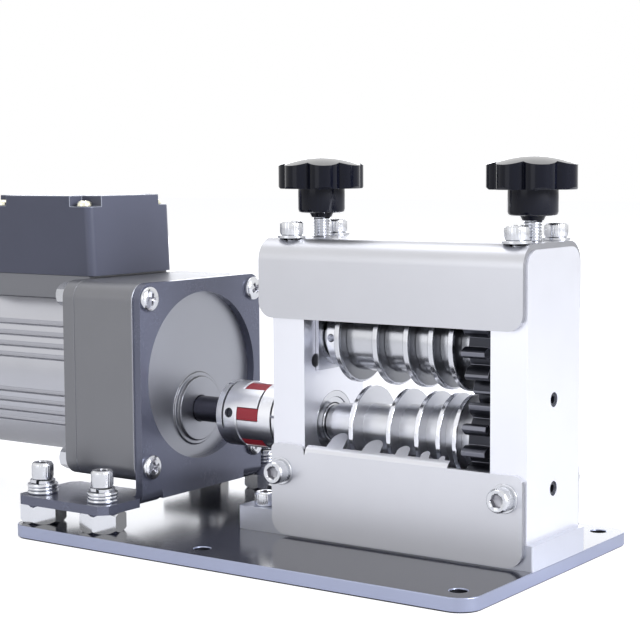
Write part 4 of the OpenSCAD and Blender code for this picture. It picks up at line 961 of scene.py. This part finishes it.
class STRIPPER_OT_terminal_box(bpy.types.Operator):
    """Dress the terminal box, its lid, saddle, screws and gland"""

    bl_idname = "stripper.terminal_box"
    bl_label = "Terminal box"

    def execute(self, context):
        sizes = context.scene.stripper_sizes
        dress("box_saddle", finishes("casting"), sizes.edge)
        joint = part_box("terminal_box")[1].z
        for node in ("terminal_box", "terminal_lid"):
            # The broken edges take the lighter finish: a painted highlight along the box's and lid's edges.
            dress(node, finishes("box paint", "box edge highlight"), sizes.edge * 0.9, segments=3, edge_material=1,
                  joint_z=joint)
        screw_set("lid_screws", "yellow zinc", sizes, pitch=sizes.small_pitch, cross=True)
        dress("cable_gland", finishes("matt plastic"), sizes.fine_edge, angle=25)
        return {"FINISHED"}


class STRIPPER_OT_coupling(bpy.types.Operator):
    """Dress the jaw coupling"""

    bl_idname = "stripper.coupling"
    bl_label = "Coupling"

    def execute(self, context):
        sizes = context.scene.stripper_sizes
        for node in ("coupling_hub_motor", "coupling_hub_roller"):
            dress(node, finishes("bright alloy"), sizes.fine_edge)
        dress("coupling_spider", finishes("spider"), sizes.fine_edge)
        keep_node("coupling_screws", "black oxide")
        return {"FINISHED"}


class STRIPPER_OT_plates(bpy.types.Operator):
    """Dress the side plates, their set screws and the bed's cap screws"""

    bl_idname = "stripper.plates"
    bl_label = "Side plates"

    def execute(self, context):
        sizes = context.scene.stripper_sizes
        for node in ("side_plate_left", "side_plate_right"):
            dress(node, finishes("side plate"), sizes.edge * 0.8)
        screw_set("bed_cap_screws", "zinc", sizes, axis="Z")
        screw_set("bed_stop_screw", "black oxide", sizes, axis="Z")
        self.set_screws()
        return {"FINISHED"}

    def set_screws(self):
        """Set screws with a hexagon socket in the face that shows."""
        bm = bmesh.new()
        centre = (middle("side_plate_left").x + middle("side_plate_right").x) / 2
        for points in solids("plate_set_screws"):
            low, high = span(points)
            mid = (low + high) / 2
            r = (high.y - low.y) / 2
            key = r
            reach = high.x - low.x
            outward = 1 if mid.x > centre else -1
            start = low.x if outward > 0 else high.x
            turn = Matrix.Rotation(math.radians(90 * outward), 4, "Y")
            place = Matrix.Translation((start, mid.y, mid.z)) @ turn
            body = [circle(r * 0.7, 0), circle(r, 0.3 * r), circle(r, reach - 0.15 * r),
                    circle(r * 0.85, reach)]
            socket = [circle(key * 0.62, reach), hexagon(key, reach - 0.08 * r), hexagon(key, reach * 0.45),
                      circle(0.1 * key, reach * 0.38)]
            loft(bm, body + socket, even_angles(48), place)
        new_piece("plate_set_screws", "detailed", bm, finishes("black oxide"))


class STRIPPER_OT_bearings(bpy.types.Operator):
    """Dress the sliding blocks, the bearings and the lifting springs"""

    bl_idname = "stripper.bearings"
    bl_label = "Bearings and blocks"

    def execute(self, context):
        sizes = context.scene.stripper_sizes
        for node in ("bearing_block_left", "bearing_block_right"):
            dress(node, finishes("block steel"), sizes.edge * 0.8)
        for level in ("lower", "upper"):
            for rings in ("bearing_rings", "inner_rings"):
                dress(f"{level}_{rings}", finishes("bearing steel"), sizes.fine_edge)
        keep_node("lift_springs", "zinc")
        return {"FINISHED"}


def dress_gear(node, sizes):
    """A gear whose teeth's tips and edges take a lighter finish: a painted highlight on the black oxide."""
    low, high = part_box(node)
    axis = (low + high) / 2
    tip = 0.95 * (high.z - low.z) / 2
    side_share = 0.5

    def painted_tips(face):
        centre = face.calc_center_median() - axis
        return int(math.hypot(centre.y, centre.z) > tip and abs(face.normal.x) < side_share)
    dress(node, finishes("black oxide", "gear tip highlight"), sizes.fine_edge * 1.4, edge_material=1,
          choose=painted_tips)


class STRIPPER_OT_feed_roller(bpy.types.Operator):
    """Dress the feed roller, its shaft, bushes and gear"""

    bl_idname = "stripper.feed_roller"
    bl_label = "Feed roller"

    def execute(self, context):
        sizes = context.scene.stripper_sizes
        axis = middle("feed_roller")
        low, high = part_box("feed_roller")
        rim_depth = 0.6 * MM
        rim_from = (high.y - low.y) / 2 - rim_depth

        # Faces on the flanges' outer rims take the lighter finish: a painted highlight.
        def rim(face):
            centre = face.calc_center_median() - axis
            return int(math.hypot(centre.y, centre.z) > rim_from and abs(face.normal.x) < FACING)
        dress("feed_roller", finishes("feed roller", "flange rim highlight"), sizes.fine_edge, choose=rim)
        for node in ("feed_shaft", "feed_shaft_bushes"):
            dress(node, finishes("feed roller"), sizes.fine_edge)
        dress_gear("feed_gear", sizes)
        return {"FINISHED"}


class STRIPPER_OT_blade_roller(bpy.types.Operator):
    """Dress the blade shaft, its discs, sleeves and gear"""

    bl_idname = "stripper.blade_roller"
    bl_label = "Blade roller"

    def execute(self, context):
        sizes = context.scene.stripper_sizes
        dress("blade_shaft", finishes("blade roller"), sizes.fine_edge)
        first_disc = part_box("blade_discs")[0].x

        def collar(face):
            return int(face.calc_center_median().x < first_disc)
        dress("blade_sleeves", finishes("blade roller", "collar steel"), sizes.fine_edge, choose=collar)
        dress("blade_discs", finishes("blade disc", "disc face shade"), sizes.fine_edge, choose=self.shaded_face)
        dress_gear("blade_gear", sizes)
        return {"FINISHED"}

    def shaded_face(self, face):
        """The discs' right faces take a darker finish: painted shade."""
        return int(face.normal.x > FACING)


class STRIPPER_OT_covers(bpy.types.Operator):
    """Dress the sheet covers, their washers and screws"""

    bl_idname = "stripper.covers"
    bl_label = "Covers"

    def execute(self, context):
        sizes = context.scene.stripper_sizes
        for node in ("upper_cover", "lower_cover", "rear_cover"):
            # The lower cover is coloured lighter than the other covers, as painted light.
            sheet = "lower sheet painted lighter" if node == "lower_cover" else "cover sheet"
            dress(node, finishes(sheet, "cut sheet and painted shade"), sizes.fine_edge * 1.3, segments=3, choose=self.sawn)
        dress("cover_washers", finishes("zinc"), sizes.fine_edge, angle=50)
        screw_set("cover_screws", "zinc", sizes)
        return {"FINISHED"}

    def sawn(self, face):
        """The sheets' ends are cut and left dull, and their darker colour is also painted shade where they
        meet the side plates.
        """
        return int(abs(face.normal.x) > FACING)


class STRIPPER_OT_knobs(bpy.types.Operator):
    """Model the star knobs and their threaded adjusting screws"""

    bl_idname = "stripper.knobs"
    bl_label = "Knobs"

    def execute(self, context):
        sizes = context.scene.stripper_sizes
        for side in ("left", "right"):
            dress("knob_" + side, finishes("knob plastic", "knob crown sheen"), sizes.edge, segments=3,
                  choose=self.crown)
            self.adjusting_screw("adjusting_screw_" + side, sizes)
        return {"FINISHED"}

    def crown(self, face):
        """The knobs' domed tops take a glossier, more reflective copy of the plastic: a painted sheen."""
        steepest = 0.6
        return int(face.normal.z > steepest)

    def adjusting_screw(self, node, sizes):
        """A threaded rod with a turned tip at its lower end."""
        low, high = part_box(node)
        centre = (low + high) / 2
        radius = (high.x - low.x) / 2
        tip = 1.2 * MM
        place = Matrix.Translation((centre.x, centre.y, 0))
        bm = bmesh.new()
        loft(bm, [circle(radius - tip, low.z), circle(radius - 0.1 * MM, low.z + tip),
                  circle(radius - 0.7 * MM, low.z + 1.6 * tip)], even_angles(40), place)
        threaded(bm, radius, sizes.knob_pitch, low.z + tip, high.z, place, sides=32)
        new_piece(node, "threaded", bm, finishes("thread zinc"))


class STRIPPER_PT_panel(bpy.types.Panel):
    """Lists the machine's groups of pieces and their settings"""

    bl_idname = "STRIPPER_PT_panel"
    bl_label = "Wire stripping machine"
    bl_space_type = "VIEW_3D"
    bl_region_type = "UI"
    bl_category = "Stripper"

    def draw(self, context):
        column = self.layout.column()
        for operator in OPERATORS:
            column.operator(operator.bl_idname)
        for group in ("stripper_sizes", "stripper_finish", "stripper_stage"):
            settings = getattr(context.scene, group)
            for key in settings.__annotations__:
                column.prop(settings, key)


GROUPS = (STRIPPER_PG_sizes, STRIPPER_PG_finish, STRIPPER_PG_stage)
OPERATORS = (
    STRIPPER_OT_stage, STRIPPER_OT_base, STRIPPER_OT_bracket, STRIPPER_OT_feet, STRIPPER_OT_gear_head,
    STRIPPER_OT_motor, STRIPPER_OT_terminal_box, STRIPPER_OT_coupling, STRIPPER_OT_plates,
    STRIPPER_OT_bearings, STRIPPER_OT_feed_roller, STRIPPER_OT_blade_roller, STRIPPER_OT_covers,
    STRIPPER_OT_knobs,
)


def register():
    """Registers the classes and gives the scene its settings."""
    for cls in (*GROUPS, *OPERATORS, STRIPPER_PT_panel):
        bpy.utils.register_class(cls)
    bpy.types.Scene.stripper_sizes = PointerProperty(type=STRIPPER_PG_sizes)
    bpy.types.Scene.stripper_finish = PointerProperty(type=STRIPPER_PG_finish)
    bpy.types.Scene.stripper_stage = PointerProperty(type=STRIPPER_PG_stage)


def unregister():
    """Takes the settings and the classes away again."""
    del bpy.types.Scene.stripper_stage
    del bpy.types.Scene.stripper_finish
    del bpy.types.Scene.stripper_sizes
    for cls in reversed((*GROUPS, *OPERATORS, STRIPPER_PT_panel)):
        bpy.utils.unregister_class(cls)


def main():
    """Makes every piece."""
    register()
    for operator in OPERATORS:
        group, name = operator.bl_idname.split(".")
        getattr(getattr(bpy.ops, group), name)()
    bpy.context.view_layer.update()


if __name__ == "__main__":
    main()
